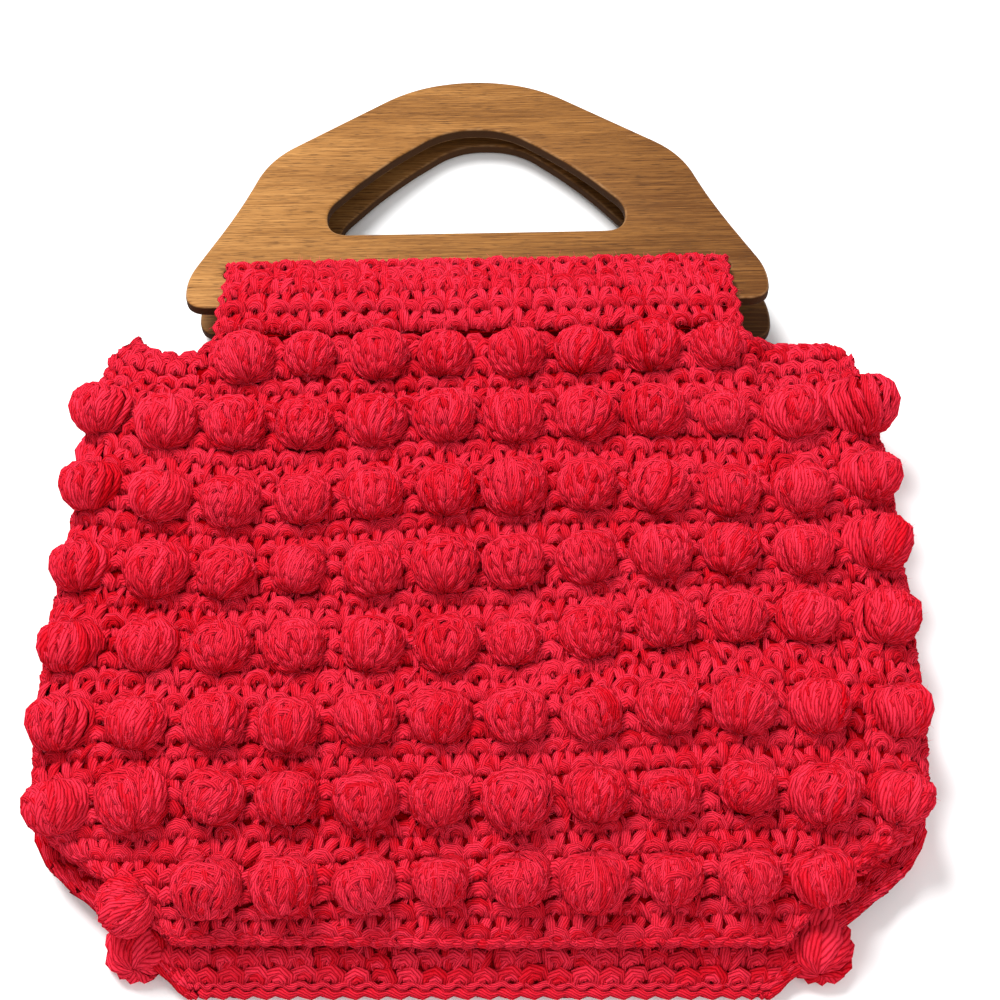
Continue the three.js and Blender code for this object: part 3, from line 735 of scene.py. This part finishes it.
def panelRows(surface, flip, rows, spacing, table):
    # each kind of row below the given bobble rows, none above the cloth's first, held within its columns
    stitches = round(bag["columns"] * bag["pitch"] / stitch["pitch"]) + 1
    parts = []
    for kind, shifts, plies, points, sides in rowTable[table]:
        places = np.concatenate([rows + shift for shift in shifts])
        places = places[places > bag["firstRow"]]
        values = stitchRows(kind, places, stitches, plies, points, stitch["pitch"], stitch["stray"])
        at, a, b, high, width = values
        below = stitch["legBelow"] if kind == "leg" else 0
        column = np.clip(middleColumn + a / bag["pitch"], 0.52, bag["columns"] + 0.48)
        row = np.clip(at + (b + below) / spacing, bag["firstRow"], bag["lastRow"])
        parts.append(layYarn(surface, flip, column, row, high, width, sides))
    return parts


def edgingRows(cloth, flip, ends, table):
    # yarns from one (column, row) to another, each a wave in the cloth, wave cos f, and out of it, sin f / 2
    parts = []
    for depth, high, sides, wide, steps in cordTable[table]:
        for (column0, row0), (column1, row1) in ends:
            acrossBy, downBy = column1 - column0, row1 - row0
            turns = round(math.hypot(acrossBy * bag["pitch"], downBy * rowSpacing) / stitch["edgingPitch"])
            turns = max(2, turns)
            t = np.linspace(0, 1, turns * steps + 1)[None]
            f = 2 * math.pi * turns * t
            sway = stitch["edgingWave"] / bag["pitch"] * np.cos(f)
            level = abs(acrossBy) > abs(downBy) / 2
            column = column0 + acrossBy * t + (0 if level else sway)
            column = np.clip(column, 0.5, bag["columns"] + 0.5)
            row = np.clip(row0 + downBy * t + (sway if level else 0), bag["firstRow"], bag["lastRow"])
            width = wide * stitch["edging"] * (1 + stitch["ripple"] * np.sin(2 * f))
            off = high + 0.5 * np.sin(f)
            parts.append(layYarn(lowered(cloth, depth), flip, column, row, off, width, sides))
    return parts


rearSpacing = bag["rearHeight"] / (bag["lastRow"] - bag["firstRow"])
topEdge, baseEdge = bag["firstRow"] + stitch["edgeInset"], bag["lastRow"] - stitch["edgeInset"]
seams = (0.5, bag["columns"] + 0.5)
shoulders = [middleColumn + way * (bag["hemWidth"] / 2 - 2) / bag["pitch"] for way in (-1, 1)]
edges = [((seam, bag["firstRow"]), (seam, bag["lastRow"])) for seam in seams]
edges += [((seam, topEdge), (shoulder, topEdge)) for seam, shoulder in zip(seams, shoulders)]
edges.append(((seams[0], baseEdge), (seams[1], baseEdge)))
frontRows = []
for name, rows in (("front_stitches_upper", np.arange(0, 4)), ("front_stitches_lower", np.arange(4, 9))):
    parts = panelRows(frontCloth, 1, rows, rowSpacing, "front")
    if rows[0] == 0:
        parts += panelRows(frontCloth, 1, np.zeros(1), rowSpacing, "frontTop")
        parts += edgingRows(frontCloth, 1, edges, "front")
    makePiece(name, parts, redYarn, "front_panel")
    frontRows += parts
rearRows = panelRows(rearCloth, -1, np.arange(0, 9), rearSpacing, "rear")
rearRows += edgingRows(rearCloth, -1, edges, "rear")
rearRows += panelRows(rearInside, 1, np.zeros(1), rearSpacing, "base")
ribs = [((middleColumn + way * across, stitch["ribTop"]), (middleColumn + way * across, bag["lastRow"]))
        for way in (-1, 1) for across in stitch["ribs"]]
rearRows += edgingRows(rearInside, 1, edges[-1:] + ribs, "ribs")
makePiece("rear_stitches", [pressedFlat(part) for part in rearRows], redYarn, "rear_panel")


def sheetPart(outside, inside, acrossCount=60, downCount=44):
    # a closed sheet: outer grid, inner grid and a rim that joins their edges
    column = np.linspace(0.5, bag["columns"] + 0.5, acrossCount + 1)
    row = np.linspace(bag["firstRow"], bag["lastRow"], downCount + 1)
    c, r = np.meshgrid(column, row)
    points = np.concatenate([outside(c, r).reshape(-1, 3), inside(c, r).reshape(-1, 3)])
    index = np.arange(c.size).reshape(c.shape)
    top = np.stack([index[:-1, :-1], index[1:, :-1], index[1:, 1:], index[:-1, 1:]], -1).reshape(-1, 4)
    under = top[:, ::-1] + c.size
    border = np.concatenate([index[0, :-1], index[:-1, -1], index[-1, :0:-1], index[:0:-1, 0]])
    following = np.roll(border, -1)
    rim = np.stack([border, following, following + c.size, border + c.size], -1)
    return {"points": points, "quads": np.concatenate([top, under, rim]), "tris": np.zeros((0, 3), int),
            "tint": np.full(len(points), 0.5)}


def frontUnder(column, row):
    # the front cloth sunk under its stitches, square to its face
    place, *_, out = clothFrame(frontCloth, column, row)
    return place - out * stitch["frontGround"]


def rearLining(column, row):
    # the rear cloth's upper side, sunk a little where stitches lie on the base
    place = rearInside(column, row)
    place[..., 2] -= stitch["baseGround"] * smoothStep(row, 8.0, 8.2)
    return place


frontGround = sheetPart(frontUnder, lowered(frontCloth, bag["thick"]))
makePiece("front_ground", [frontGround], shadedRedGround, "front_panel")
rearGround = sheetPart(lowered(rearCloth, -stitch["rearGround"]), rearLining)
makePiece("rear_ground", [rearGround], shadedRedGround, "rear_panel")


# Handles and hems: outlines with softened corners, as the frame's solids have them

handle = {
    "width": 211.0, "height": 119.0, "thick": 5.0, "edgeRound": 1.2,
    "gripWidth": 115.0, "gripHeight": 55.0, "gripBase": 35.2,
    "bar": 14.0, "slotHalf": 93.0, "slotCorner": 1.8,
    "layer": 3.5, "hemCorner": 1.5, "gap": 0.3, "mouthGap": 5.0, "topGap": 0.6,
    "frontTail": 15.0, "rearTail": 13.0,
}
plateCorners = {"out": [1.005, 1.01, 0.845, 0.752, 0.235], "up": [0.0, 0.12, 0.41, 0.638, 0.963],
                "soft": [0.07, 0.06, 0.14, 0.1, 0.11]}
gripCorners = {"out": [0.95, 0.985, 0.64, 0.2], "up": [0.0, 0.23, 0.64, 1.0],
               "soft": [0.13, 0.12, 0.3, 0.19]}
crownSoft = 0.1

hemStack = handle["gap"] + handle["layer"]
bevelTop = handle["height"] - handle["edgeRound"]
rearFace = hemStack + handle["thick"]
rearLean = math.asin(hemStack / bevelTop)
frontTopBack = handle["thick"] + handle["topGap"]
mouthRoof = rearFace + hemStack + handle["mouthGap"]
frontLean = math.atan((mouthRoof + hemStack - frontTopBack) / (bevelTop - handle["bar"] - hemStack))
frontFace = frontTopBack + bevelTop * math.sin(frontLean) + handle["thick"]
tops = {
    "front": {"lean": frontLean, "face": frontFace, "tail": handle["frontTail"],
              "tailLow": seat + bag["belly"] * frontLines["high"][0],
              "turn": bag["frontTurn"], "shift": bag["frontShift"]},
    "rear": {"lean": rearLean, "face": rearFace, "tail": handle["rearTail"], "tailLow": bag["restLift"],
             "turn": bag["rearTurn"], "shift": bag["rearShift"]},
}


def softOutline(corners, softness, stepLength=1.2):
    # straight sides, with each corner p a curve (1-t)^2 a + 2t(1-t) p + t^2 b between setbacks a and b
    corners = np.array(corners, float)
    before, after = np.roll(corners, 1, 0), np.roll(corners, -1, 0)

    def setback(other):
        way = other - corners
        length = np.linalg.norm(way, axis=1, keepdims=True)
        return corners + way / length * np.minimum(np.array(softness)[:, None], length * 0.49)

    start, end = setback(before), setback(after)
    points = []
    for i in range(len(corners)):
        bendLength = np.linalg.norm(start[i] - corners[i]) + np.linalg.norm(end[i] - corners[i])
        t = np.linspace(0, 1, max(4, int(bendLength / stepLength)) + 1)[:, None]
        points.append((1 - t)**2 * start[i] + 2 * t * (1 - t) * corners[i] + t**2 * end[i])
        following = start[(i + 1) % len(corners)]
        count = max(1, int(np.linalg.norm(following - end[i]) / (3 * stepLength)))
        t = np.linspace(0, 1, count + 1)[1:-1, None]
        points.append(end[i] * (1 - t) + following * t)
    return np.concatenate(points)


def bothHalves(half, softness, crown=None):
    # right half, the crown where there is one, and the mirrored right half
    half, softness = np.array(half, float), list(softness)
    mirrored = half[::-1] * [-1, 1]
    middle, middleSoft = ([crown[0]], [crown[1]]) if crown else (np.zeros((0, 2)), [])
    return np.concatenate([half, middle, mirrored]), softness + middleSoft + softness[::-1]


def plateLoops():
    # outline, grip hole and slot of a plate, in its own plane, from its lower edge up
    height, half = handle["height"], handle["width"] / 2
    points = np.stack([np.array(plateCorners["out"]) * half, np.array(plateCorners["up"]) * height], 1)
    soft = np.array(plateCorners["soft"]) * height
    outline = softOutline(*bothHalves(points, soft, ([0, height], crownSoft * height)))
    gripHalf, gripHeight = handle["gripWidth"] / 2, handle["gripHeight"]
    points = np.stack([np.array(gripCorners["out"]) * gripHalf,
                       handle["gripBase"] + np.array(gripCorners["up"]) * gripHeight], 1)
    grip = softOutline(*bothHalves(points, np.array(gripCorners["soft"]) * gripHeight))
    slotTop = handle["bar"] + handle["layer"] + 2 * handle["gap"]
    points = [[handle["slotHalf"], handle["bar"]], [handle["slotHalf"], slotTop]]
    slotLoop = softOutline(*bothHalves(points, [handle["slotCorner"]] * 2), stepLength=0.8)
    return outline, grip, slotLoop


def onTurn(points, top):
    # (x, y, z) from the plate's lower edge, turned in the plane of the surface and set on the bag
    turn = top["turn"]
    x, y = points[..., 0], points[..., 1]
    return np.stack([top["shift"] - top["tail"] * math.sin(turn) + x * math.cos(turn) - y * math.sin(turn),
                     mouthLine + top["tail"] + x * math.sin(turn) + y * math.cos(turn), points[..., 2]], -1)


def onBag(points, top):
    # a plate's own (x, up, out) leaned about its lower edge, lifted to its face, turned and set on the bag
    lean = top["lean"]
    x, up, out = points[..., 0], points[..., 1], points[..., 2]
    y = up * math.cos(lean) + out * math.sin(lean)
    z = top["face"] - up * math.sin(lean) + out * math.cos(lean)
    return onTurn(np.stack([x, y, z], -1), top)


def platePart(top, roundSteps=4):
    # each loop carries a profile: inset r (1 - sin f) and depth r (1 - cos f) over the front rounding, then
    # the same mirrored at the back; the flat faces fill between the innermost loops
    r, thick = handle["edgeRound"], handle["thick"]
    f = np.linspace(0, math.pi / 2, roundSteps + 1)
    inset = np.concatenate([r * (1 - np.sin(f)), r * (1 - np.sin(f[::-1]))])
    depth = np.concatenate([-r * (1 - np.cos(f)), -thick + r * (1 - np.cos(f[::-1]))])
    edge = np.concatenate([f, f[::-1]]) / (math.pi / 2)
    walls, local, edges, rims, start = [], [], [], [], 0
    for loop, inward in zip(plateLoops(), (1, -1, -1)):
        way = unit(np.roll(loop, -1, 0) - np.roll(loop, 1, 0))
        nextX, nextY = np.roll(loop[:, 0], -1), np.roll(loop[:, 1], -1)
        turnSign = np.sign(np.sum(loop[:, 0] * nextY - nextX * loop[:, 1]))
        normal = np.stack([-way[:, 1], way[:, 0]], 1) * turnSign * inward
        ring = loop[None] + normal[None] * inset[:, None, None]
        grid = np.concatenate([ring, np.broadcast_to(depth[:, None, None], (*ring.shape[:2], 1))], -1)
        m, n = grid.shape[:2]
        quads = start + ringFaces(m, n)
        walls.append(quads if turnSign * inward < 0 else quads[:, ::-1])
        local.append(grid.reshape(-1, 3))
        edges.append(np.repeat(edge, n))
        rims.append((start, start + (m - 1) * n, n))
        start += m * n
    local, edges = np.concatenate(local), np.concatenate(edges)
    frontIndex = np.concatenate([np.arange(first, first + n) for first, last, n in rims])
    backIndex = np.concatenate([np.arange(last, last + n) for first, last, n in rims])
    rings = [[(*local[first + k, :2], 0.0) for k in range(n)] for first, last, n in rims]
    fill = np.array(tessellate_polygon(rings))
    a, b, c = (local[frontIndex[fill[:, i]]][:, :2] for i in range(3))
    area = (b[:, 0] - a[:, 0]) * (c[:, 1] - a[:, 1]) - (b[:, 1] - a[:, 1]) * (c[:, 0] - a[:, 0])
    fill = np.where(area[:, None] > 0, fill, fill[:, ::-1])[np.abs(area) > 1e-7]
    return {"points": onBag(local, top), "quads": np.concatenate(walls),
            "tris": np.concatenate([frontIndex[fill], backIndex[fill[:, ::-1]]]),
            "tint": np.full(len(local), 0.5), "grainAt": local, "edge": edges, "rim": np.sin(math.pi * edges)}


woodLook = {
    "light": (0.4, 0.19, 0.055), "middle": (0.225, 0.094, 0.022), "dark": (0.09, 0.031, 0.006),
    # litFromLeft: painted light, the face colour rising towards the left of the plate
    "stops": (0.36, 0.58, 0.8), "fineShare": 0.75, "bandShare": 0.36, "litFromLeft": -0.0014,
    "fineStretch": (0.035, 1.6, 0.3), "fineNoise": (1.0, 5.0, 0.66),
    "poreStretch": (0.16, 2.6, 0.4), "poreNoise": (1.0, 2.0, 0.6), "poreRange": (0.54, 0.66),
    "poreShare": 0.7, "poreDark": 0.55,
    "bandStretch": (0.006, 0.085, 0.02), "bandNoise": (1.0, 3.0, 0.5),
    "edgeDark": (0.045, 0.018, 0.006), "wallRange": (0.45, 0.8), "wallRough": 0.3,
    # wearAndHighlight: pale rim colour, partly rubbed wear and partly painted highlight along the rounded edge
    "wearAndHighlight": (0.34, 0.18, 0.075), "wearAndHighlightStretch": (0.12, 0.12, 0.12), "wearAndHighlightNoise": (1.0, 4.0, 0.6),
    "wearAndHighlightRange": (0.42, 0.62), "wearAndHighlightPower": 3.0,
    "roughness": 0.55, "specular": 0.1, "bumpStrength": 0.35, "bump": 0.12,
}


def stretchedNoise(tree, place, key):
    # noise over the place times the key's stretch
    sockets = {0: place, 1: woodLook[key + "Stretch"]}
    moved = newNode(tree, "VectorMath", sockets, operation="MULTIPLY").outputs[0]
    return noiseNode(tree, moved, *woodLook[key + "Noise"])


def makeWoodGrain():
    # fine: noise drawn out along x; pore: its thin dark dashes; band: slow changes across the plate
    tree, given, made = newGroup("woodGrain", {"Place": None, "Seed": 0.0}, ["Fine", "Pore", "Band"])
    shift = newNode(tree, "CombineXYZ", {"X": given["Seed"], "Z": given["Seed"]}).outputs[0]
    moved = newNode(tree, "VectorMath", {0: given["Place"], 1: shift}, operation="ADD").outputs[0]
    setSockets(tree, made, {
        "Fine": stretchedNoise(tree, moved, "fine"),
        "Pore": shareBetween(tree, stretchedNoise(tree, moved, "pore"), *woodLook["poreRange"]),
        "Band": stretchedNoise(tree, moved, "band"),
    })
    return tree


def makeEdgeWearAndHighlight():
    # wall: how far round the edge; rubbed: rim^power x broken noise x amount, a pale rim that is partly rubbed
    # wear and partly painted highlight on the rounding
    tree, given, made = newGroup("edgeWearAndHighlight", {"Place": None, "Edge": 0.0, "Rim": 0.0, "Amount": 1.0},
                                 ["Wall", "RubbedAndHighlight"])
    spots = shareBetween(tree, stretchedNoise(tree, given["Place"], "wearAndHighlight"), *woodLook["wearAndHighlightRange"])
    narrow = mathNode(tree, "POWER", given["Rim"], woodLook["wearAndHighlightPower"])
    rubbedAndHighlight = mathNode(tree, "MULTIPLY", mathNode(tree, "MULTIPLY", narrow, spots), given["Amount"])
    wall = shareBetween(tree, given["Edge"], *woodLook["wallRange"])
    setSockets(tree, made, {"Wall": wall, "RubbedAndHighlight": rubbedAndHighlight})
    return tree


woodGrain, edgeWearAndHighlight = makeWoodGrain(), makeEdgeWearAndHighlight()


def makeWood(name, toneAndShade, seed, wearAndHighlight):
    # face colour from grain and bands, with painted light that makes it lighter to the left; dark walls with a
    # pale rim that is partly rubbed wear and partly painted highlight
    material, tree, surface = newMaterial(name)
    place = attributeNode(tree, "grainAt")["Vector"]
    grain = newNode(tree, "Group", {"Place": place, "Seed": seed}, node_tree=woodGrain).outputs
    edgeMarks = newNode(tree, "Group", {"Place": place, "Edge": attributeNode(tree, "edge")["Fac"],
                                   "Rim": attributeNode(tree, "rim")["Fac"], "Amount": wearAndHighlight},
                   node_tree=edgeWearAndHighlight).outputs
    acrossPlate = newNode(tree, "SeparateXYZ", {0: place}).outputs["X"]
    # the last term is painted light: the face grows lighter to the left
    tone = weighedSum(tree, (grain["Fine"], woodLook["fineShare"]), (grain["Band"], woodLook["bandShare"]),
                      (acrossPlate, woodLook["litFromLeft"]))
    tones = [scaled(woodLook[key], toneAndShade) for key in ("dark", "middle", "light")]
    face = rampNode(tree, tone, list(zip(woodLook["stops"], tones)))
    poreFac = mathNode(tree, "MULTIPLY", grain["Pore"], woodLook["poreShare"])
    face = mixColor(tree, poreFac, face, scaled(tones[0], woodLook["poreDark"]))
    walled = mixColor(tree, edgeMarks["Wall"], face, woodLook["edgeDark"])
    height = mathNode(tree, "SUBTRACT", grain["Fine"], grain["Pore"])
    rough = mathNode(tree, "MULTIPLY_ADD", edgeMarks["Wall"], woodLook["wallRough"], woodLook["roughness"])
    setSockets(tree, surface, {
        # the pale rim mixed in here is partly rubbed wear and partly painted highlight
        "Base Color": mixColor(tree, edgeMarks["RubbedAndHighlight"], walled, scaled(woodLook["wearAndHighlight"], toneAndShade)),
        "Normal": bumpNode(tree, height, woodLook["bumpStrength"], woodLook["bump"]),
        "Roughness": rough, "Specular IOR Level": woodLook["specular"],
    })
    return material


# the rear plate's colours are scaled by 0.6, partly its own darker tone and partly painted shade behind the
# front plate
frontWood, rearWood = makeWood("plywood", 1.0, 3.0, 0.8), makeWood("rearPlywoodShaded", 0.6, 41.0, 0.6)
makePiece("front_plate", [platePart(tops["front"])], frontWood, "front_handle")
makePiece("rear_plate", [platePart(tops["rear"])], rearWood, "rear_handle")


# Hems: a sleeve round each lower bar, with stitch rows wrapped round its section

hem = {
    "stitches": 23, "endGap": 1.5, "flare": 0.035, "flareFrom": -18.0, "under": 1.9, "proud": 0.3,
    "edgingPitch": 6.0, "edgingSwing": 0.7,
    "arcsAbove": [3.0, 9.0, 14.4], "legsAbove": [6.4, 12.2],                  # mm from the front layer's top
    "holeLegs": [0.8], "arcsBelow": [6.0, 13.2], "legsBelow": [10.2],         # mm from the row of holes
    "backFrom": 12.0, "backTo": 6.0, "backPitch": 9.0, "backLegs": 4.4,
}


def measured(loop):
    # a loop closed on its first point, and the length of the way round at each point
    closed = np.concatenate([loop, loop[:1]])
    return closed, np.concatenate([[0], np.cumsum(np.linalg.norm(np.diff(closed, axis=0), axis=1))])


def atLengths(q, closed, length):
    return np.stack([np.interp(q, length, closed[:, 0]), np.interp(q, length, closed[:, 1])], -1)


def flared(across, y, top):
    # the sleeve widens from the plate's lower edge to the end of its tail
    return across * (1 + hem["flare"] * smoothStep(-y, hem["flareFrom"], top["tail"]))


def hemLoops(top):
    # the sleeve's section as (y, z) from the plate's lower edge, starting at the top of its front layer, and
    # the hole in it that the bar fills
    lean, face, tail, low = top["lean"], top["face"], top["tail"], top["tailLow"]
    gap, layer, thick, corner = handle["gap"], handle["layer"], handle["thick"], handle["hemCorner"]

    def onPlate(up, out):
        return [up * math.cos(lean) + out * math.sin(lean),
                max(0, face - up * math.sin(lean) + out * math.cos(lean))]

    sleeveTop, fold = handle["bar"] + gap + layer, -gap - layer / 2
    over, under = gap + layer, -(thick + gap + layer)
    corners = [onPlate(sleeveTop, over), onPlate(fold, over), [gap - tail, low + bag["thick"]],
               [gap - tail, low], onPlate(fold, under), onPlate(sleeveTop, under)]
    outer = softOutline(corners, [corner, corner, 0.2, 0.2, corner, corner], stepLength=0.7)
    barTop, barUnder = handle["bar"] + gap, -thick - gap
    hole = [onPlate(barTop, gap), onPlate(-gap, gap), onPlate(-gap, barUnder), onPlate(barTop, barUnder)]
    return outer, softOutline(hole, [corner / 3] * 4, stepLength=0.7)


def hemCloth(top):
    # the sleeve's outer surface: (across, way round) to a place, where the way round wraps at the section's
    # own length
    closed, length = measured(hemLoops(top)[0])

    def surface(across, around):
        section = atLengths(np.mod(around, length[-1]), closed, length)
        wide = flared(across, section[..., 0], top)
        return onTurn(np.concatenate([wide[..., None], section], -1), top)

    return surface, length[-1]


def hemFrame(surface, across, around):
    # place and way out, from central differences wide enough to round the corners
    step = 0.8
    right = unit(surface(across + step, around) - surface(across - step, around))
    on = unit(surface(across, around + step) - surface(across, around - step))
    return surface(across, around), unit(np.cross(on, right))


def hemRows(surface, kind, places, plies, points, sides, between=0):
    # stitches round the sleeve, at places measured from the top of its front layer
    pitch = (bag["hemWidth"] - hem["endGap"]) / hem["stitches"]
    at, a, b, high, width = stitchRows(kind, places, hem["stitches"] - between, plies, points, pitch)
    place, out = hemFrame(surface, a, at + b)
    return tubePart(place + out * (high + hem["proud"])[..., None], out, width, stitch["flat"] * width, sides)


def sleevePart(top, count=72):
    # the sleeve's body: outer and inner loop, matched by their share of the way round, closed at both ends
    def resampled(loop):
        closed, length = measured(loop)
        return atLengths(np.linspace(0, length[-1], count + 1)[:-1], closed, length)

    outer, inner = (resampled(loop) for loop in hemLoops(top))
    middle = inner.mean(0)
    nearest = np.argmin(np.abs(np.arctan2(*(inner - middle).T) - np.arctan2(*(outer[0] - middle))))
    inner = np.roll(inner, -nearest, 0)
    way = unit(np.roll(outer, -1, 0) - np.roll(outer, 1, 0))
    outward = np.stack([-way[:, 1], way[:, 0]], 1)
    outward *= np.sign((outward * (outer - outer.mean(0))).sum())
    half = bag["hemWidth"] / 2 - hem["endGap"]
    x = np.linspace(-half, half, 24)[:, None]
    grids = []
    for section in (outer - outward * hem["under"], inner):
        wide = flared(x, section[:, 0], top)
        flat = np.broadcast_to(section, (*wide.shape, 2))
        grids.append(onTurn(np.concatenate([wide[..., None], flat], -1), top).reshape(-1, 3))
    onOuter = ringFaces(len(x), count)
    inside = len(x) * count
    onInner = onOuter[:, ::-1] + inside
    i = np.arange(count)
    following = (i + 1) % count
    firstEnd = np.stack([i, i + inside, following + inside, following], -1)
    lastEnd = firstEnd[:, [0, 3, 2, 1]] + (len(x) - 1) * count
    return {"points": np.concatenate(grids), "quads": np.concatenate([onOuter, onInner, firstEnd, lastEnd]),
            "tris": np.zeros((0, 3), int), "tint": np.full(2 * inside, 0.5)}


def hemEdging(surface, length, sides):
    # yarns round both ends of the sleeve and along the top of its front and back layers, each a small wave
    def edgingYarn(across, around, high, ripple):
        place, out = hemFrame(surface, across, around)
        centre, wide = place + out * high[..., None], stitch["edging"] * (1 + ripple)
        return tubePart(centre, out, wide, stitch["edging"], sides)

    parts = []
    turns = round(length / hem["edgingPitch"])
    t = np.linspace(0, 1, turns * 6 + 1)[None]
    for side in (-1, 1):
        for inset, phase in ((0.0, 0), (2.0, 2.2)):
            f = 2 * math.pi * turns * t + phase
            across = side * (bag["hemWidth"] / 2 - inset + hem["edgingSwing"] * np.cos(f))
            parts.append(edgingYarn(across, length * t, 0.6 * np.sin(f) - 0.6, 0.1 * np.sin(2 * f)))
    turns = 2 * hem["stitches"]
    t = np.linspace(-0.5, 0.5, turns * 6 + 1)[None]
    f = 2 * math.pi * turns * t
    for around, phase in ((0.4, 0.0), (length - 1.6, math.pi)):
        parts.append(edgingYarn((bag["hemWidth"] - 2) * t, around + 0.9 * np.cos(f + phase),
                                0.5 * np.sin(f + phase) - 0.3, 0.15 * np.sin(3 * f)))
    return parts


def makeHem(name, top, fine, node):
    # arcs with legs between them on the front layer, above and below the row of holes at the plate's lower
    # edge, and plainer rows over the back
    surface, length = hemCloth(top)
    holes = handle["bar"] + handle["layer"] + handle["gap"]
    main, points = (4, 7) if fine else (3, 5)
    back = np.arange(holes + top["tail"] + hem["backFrom"], length - hem["backTo"], hem["backPitch"])
    below = {key: holes + np.array(hem[key]) for key in ("holeLegs", "arcsBelow", "legsBelow")}
    parts = [
        hemRows(surface, "arc", hem["arcsAbove"], 3, points, main),
        hemRows(surface, "leg", hem["legsAbove"], 4, 5, main),
        hemRows(surface, "leg", below["holeLegs"], 4, 5, main, 1),
        hemRows(surface, "arc", below["arcsBelow"], 3, points, main),
        hemRows(surface, "leg", below["legsBelow"], 4, 5, main),
        hemRows(surface, "arc", back, 2, 5, 4),
        hemRows(surface, "leg", back + hem["backLegs"], 2, 4, 3),
    ] + hemEdging(surface, length, main)
    sleeve = sleevePart(top)
    if not fine:
        parts = [pressedFlat(part) for part in parts]
        sleeve = pressedFlat(sleeve, 0.3)
    makePiece(name, parts, redYarn, node)
    makePiece(name + "_core", [sleeve], shadedRedGround, node)
    return parts


frontHemParts = makeHem("front_hem_stitches", tops["front"], True, "front_hem")
makeHem("rear_hem_stitches", tops["rear"], False, "rear_hem")


# Fuzz: loose fibres standing off the yarn

fuzz = {
    "long": 2.1, "thin": 0.06, "rooted": 0.25, "upright": 0.8, "alongYarn": 0.7, "stray": 0.45,
    "facing": -0.2,                                     # the least upward share of a skin that carries fibres
    "onBobbles": 14000, "onStitches": 7000, "onHem": 5000,
}


def fuzzPart(parts, count):
    # four-sided needles: a small triangle in the yarn's skin, and a tip at length x (out + way + chance)
    skin, skinOut, skinWay = (np.concatenate([part[key] for part in parts])
                              for key in ("skin", "skinOut", "skinWay"))
    pick = rng.choice(np.flatnonzero(skinOut[:, 2] > fuzz["facing"]), count)
    out, way = skinOut[pick], skinWay[pick]
    root = skin[pick] - out * fuzz["rooted"]
    length = fuzz["long"] * rng.uniform(0.35, 1.3, (count, 1))
    lean = out * fuzz["upright"] + way * rng.normal(0, fuzz["alongYarn"], (count, 1))
    lean = unit(lean + rng.normal(0, fuzz["stray"], (count, 3)))
    tip = root + lean * (length + fuzz["rooted"])
    side = unit(np.cross(lean, way + 0.01))
    other = np.cross(lean, side)
    angle = 2 * math.pi * np.arange(3)[:, None] / 3
    base = root[:, None] + fuzz["thin"] * (np.cos(angle) * side[:, None] + np.sin(angle) * other[:, None])
    faces = np.array([[0, 1, 3], [1, 2, 3], [2, 0, 3], [2, 1, 0]])
    return {"points": np.concatenate([base, tip[:, None]], 1).reshape(-1, 3), "quads": np.zeros((0, 4), int),
            "tris": (4 * np.arange(count)[:, None, None] + faces).reshape(-1, 3),
            "tint": np.repeat(rng.random(count), 4)}


panelFuzz = [fuzzPart(frontStrands, fuzz["onBobbles"]), fuzzPart(frontRows, fuzz["onStitches"])]
makePiece("front_fuzz", panelFuzz, redFuzzHighlight, "front_panel")
makePiece("front_hem_fuzz", [fuzzPart(frontHemParts, fuzz["onHem"])], redFuzzHighlight, "front_hem")


# Stage: pale floor, soft studio light and the camera above the bag's base

studio = {
    "floor": 6.0, "floorColor": (0.86, 0.86, 0.86, 1), "world": (1.0, 1.0, 1.0, 1), "worldStrength": 0.66,
    "floorRoughness": 0.9, "floorSpecular": 0.1,
    "keyPlace": (-0.65, 0.85, 1.75), "keySize": 0.9, "keyPower": 60.0,
    "fillPlace": (0.6, -0.9, 1.1), "fillSize": 1.4, "fillPower": 8.0,
    "cameraPlace": (0.0066, -0.3085, 0.5992), "cameraTilt": math.radians(27), "lens": 67.3,
}


def makeFloor():
    half = studio["floor"] / 2
    corners = [(-half, -half, 0), (half, -half, 0), (half, half, 0), (-half, half, 0)]
    mesh = bpy.data.meshes.new("floor")
    mesh.from_pydata(corners, [], [(0, 1, 2, 3)])
    material, tree, surface = newMaterial("paleFloor")
    setSockets(tree, surface, {"Base Color": studio["floorColor"], "Roughness": studio["floorRoughness"],
                               "Specular IOR Level": studio["floorSpecular"]})
    mesh.materials.append(material)
    addObject("floor", mesh)


def makeLight(name):
    # a disk that faces the middle of the bag
    x, y, z = studio[name + "Place"]
    data = bpy.data.lights.new(name, "AREA")
    data.shape = "DISK"
    data.size = studio[name + "Size"]
    data.energy = studio[name + "Power"]
    light = addObject(name, data)
    light.location = (x, y, z)
    light.rotation_euler = (math.atan2(math.hypot(x, y), z), 0, math.atan2(-y, -x) - math.pi / 2)


def makeCamera():
    data = bpy.data.cameras.new("camera")
    data.lens = studio["lens"]
    data.sensor_width = 36
    data.clip_start = 0.01
    camera = addObject("camera", data)
    camera.location = studio["cameraPlace"]
    camera.rotation_euler = (studio["cameraTilt"], 0, 0)
    bpy.context.scene.camera = camera


makeFloor()
makeLight("key")
makeLight("fill")
makeCamera()
world = bpy.data.worlds.new("studio")
world.use_nodes = True
background = world.node_tree.nodes["Background"]
background.inputs["Color"].default_value = studio["world"]
background.inputs["Strength"].default_value = studio["worldStrength"]
bpy.context.scene.world = world
bpy.context.scene.view_settings.view_transform = "Standard"
print("stage set")
